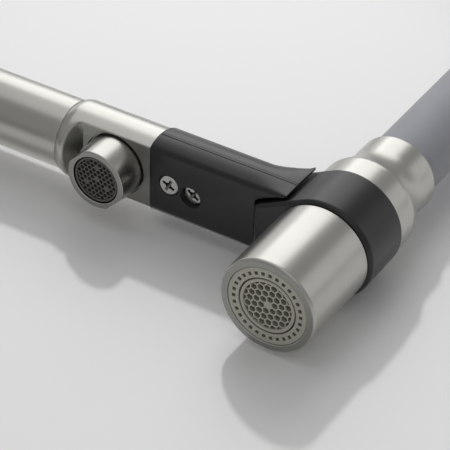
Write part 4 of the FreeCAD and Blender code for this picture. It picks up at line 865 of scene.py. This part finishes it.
# Spray head: face
# A moulded plate with a ring of small square jets round a honeycomb that straightens the stream. Both are
# plastic with a sprayed nickel-grey finish, so they look duller and warmer than the barrel.
JETS, JET_MID, JET_HALF, JET_DEPTH = 30, 11.6, 0.6, 2.5
JET_PHASE = math.radians(3.0)
PLATE_IN, PLATE_OUT, PLATE_EDGE = 9.95, 13.65, 0.2
PLATE_FACE, PLATE_RIM, PLATE_BACK = 0.22, 0.37, 4.6

# Sprayed nickel-grey lacquer on plastic: a dull warm grey with a fine metal flake.
sprayed_grey = uneven_material("nickel-grey sprayed plastic", 0.5, ("A5A398", "B3B1A5"), (0.38, 0.5), detail=2.0,
                               Metallic=0.2)
sector = 2 * math.pi / JETS
jet_turn = JET_HALF / JET_MID
jet_steps = [0, sector / 4, sector / 2 - jet_turn, sector / 2 + jet_turn, sector * 3 / 4]
angles = [k * sector + step + JET_PHASE for k in range(JETS) for step in jet_steps]
loops = [(PLATE_IN, PLATE_RIM), (PLATE_IN + PLATE_EDGE, PLATE_FACE), (JET_MID - JET_HALF, PLATE_FACE),
         (JET_MID + JET_HALF, PLATE_FACE), (PLATE_OUT - PLATE_EDGE, PLATE_FACE), (PLATE_OUT, PLATE_RIM),
         (PLATE_OUT, PLATE_BACK), (PLATE_IN, PLATE_BACK)]
verts = [(Vector(HEAD_AT) + at_angle(radius, angle, height)) * MM for radius, height in loops for angle in angles]
faces = []
for number, corners in enumerate(faces_between(len(loops), len(angles))):
    loop, step = divmod(number, len(angles))
    if (loop, step % len(jet_steps)) != (2, 2):
        faces.append(corners)
        continue
    start = len(verts)
    verts.extend(verts[c] + Vector((0, 0, JET_DEPTH * MM)) for c in corners)
    faces.extend((corners[k], corners[(k + 1) % 4], start + (k + 1) % 4, start + k) for k in range(4))
    faces.append(tuple(range(start, start + 4)))
plate = make_piece("spray_jet_plate", verts, faces, sprayed_grey)
seat(plate, "spray_nozzle", "nickel_plastic", "spray_plate")

comb = screen("honeycomb", sprayed_grey, HEAD_AT, radius=9.5, rim=1.15, rim_top=0.3, web_top=0.75, pitch=2.4,
              web=0.52, depth=2.5, turn_deg=-15, filled={(0, 0)})
seat(comb, "spray_nozzle", "nickel_plastic", "spray_honeycomb")

# Inside pieces
# Seals, cartridge, valve parts, screws, swivel, inner hoses and magnets. Their solids stay and only take the
# material they are made of. Of them all only the plated swivel spigot shows, as a thin ring above the column.

# Nickel-plated magnets: a smooth bright metal, a little clouded.
plated_magnet = uneven_material("nickel-plated magnet", 3, "B9B8B4", (0.2, 0.35), detail=2.0, Metallic=1.0)
inside = {
    rubber: ["deck_gasket", "cartridge_seal", "swivel_orings", "outlet_seal", "nozzle_seal"],
    acetal: ["mixer_cartridge", "cartridge_rotor", "riser_hose", "filter_tube", "spray_core", "diverter_disc",
             "thrust_washer", "lever_plug"],
    nickel_upright: ["swivel_spigot"],
    brass: ["cartridge_nut", "cartridge_stem", "filter_valve", "filter_spindle", "riser_nipple", "spray_nipple"],
    zinc_steel: ["pivot_pin", "lever_grub_screw", "filter_grub_screw", "swivel_retainer"],
    plated_magnet: ["dock_magnet", "ring_magnet"],
}
for material, nodes in inside.items():
    for node in nodes:
        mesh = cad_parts[node].data
        mesh.materials.clear()
        mesh.materials.append(material)

# Table and light
# A pale satin table top lies behind the arm and spray head, and can be seen through from behind. A small key
# lamp throws the arm's shadow on it, and six wide soft lamps stand round the faucet for the metal to mirror.
TABLE_Y = 17.8
STUDIO_LEVEL = 0.355
LAMP_AIM = Vector((225, 0, 245)) * MM
table_corners = [(40, -300), (1300, -300), (1300, 1300), (-500, 1300), (-500, 220), (40, 220)]
table_mesh = bpy.data.meshes.new("table")
table_mesh.from_pydata([(x * MM, TABLE_Y * MM, z * MM) for x, z in table_corners], [], [tuple(range(6))])
table = bpy.data.objects.new("table", table_mesh)
scene.collection.objects.link(table)
table.visible_shadow = False

# Satin laminate of the table: an even pale grey with a soft broad gloss.
table_top, tree = start_material("pale satin table top")
facing = add_node(tree, "ShaderNodeNewGeometry")
shader = add_node(tree, "ShaderNodeBsdfPrincipled", Base_Color=linear("E5E5E5"), Roughness=0.5)
clear = add_node(tree, "ShaderNodeBsdfTransparent")
choice = add_node(tree, "ShaderNodeMixShader", Fac=facing.outputs["Backfacing"])
tree.links.new(shader.outputs["BSDF"], choice.inputs[1])
tree.links.new(clear.outputs["BSDF"], choice.inputs[2])
add_node(tree, "ShaderNodeOutputMaterial", Surface=choice.outputs["Shader"])
table_mesh.materials.append(table_top)

world = bpy.data.worlds.new("studio")
world.use_nodes = True
background = world.node_tree.nodes["Background"]
background.inputs["Color"].default_value = linear("FFFFFF")
background.inputs["Strength"].default_value = STUDIO_LEVEL
scene.world = world


def lamp(name, towards, size, power, distance=1.2, mirrored=True):
    """A square lamp that faces the spray head from some way off, mirrored in metal or not."""
    data = bpy.data.lights.new(name, "AREA")
    data.size = size
    data.energy = power
    thing = bpy.data.objects.new(name, data)
    thing.visible_glossy = mirrored
    thing.location = LAMP_AIM + Vector(towards).normalized() * distance
    thing.rotation_mode = "QUATERNION"
    thing.rotation_quaternion = (LAMP_AIM - thing.location).to_track_quat("-Z", "Y")
    scene.collection.objects.link(thing)


lamp("key", (-0.426, -0.655, 0.622), 0.07, 9, distance=1.5, mirrored=False)
lamp("side_softbox", (-0.35, -0.6, 0.72), 0.9, 4.0)
lamp("top_softbox", (-0.3, -0.95, 0.05), 0.9, 1.5)
lamp("low_softbox", (-0.75, -0.12, 0.65), 0.9, 1.5)
lamp("front_softbox", (0.35, -0.85, -0.4), 0.9, 0.8)
lamp("right_softbox", (0.66, -0.29, 0.69), 0.6, 0.5)
lamp("back_softbox", (-0.5, 0.8, 0.25), 0.6, 5.0)
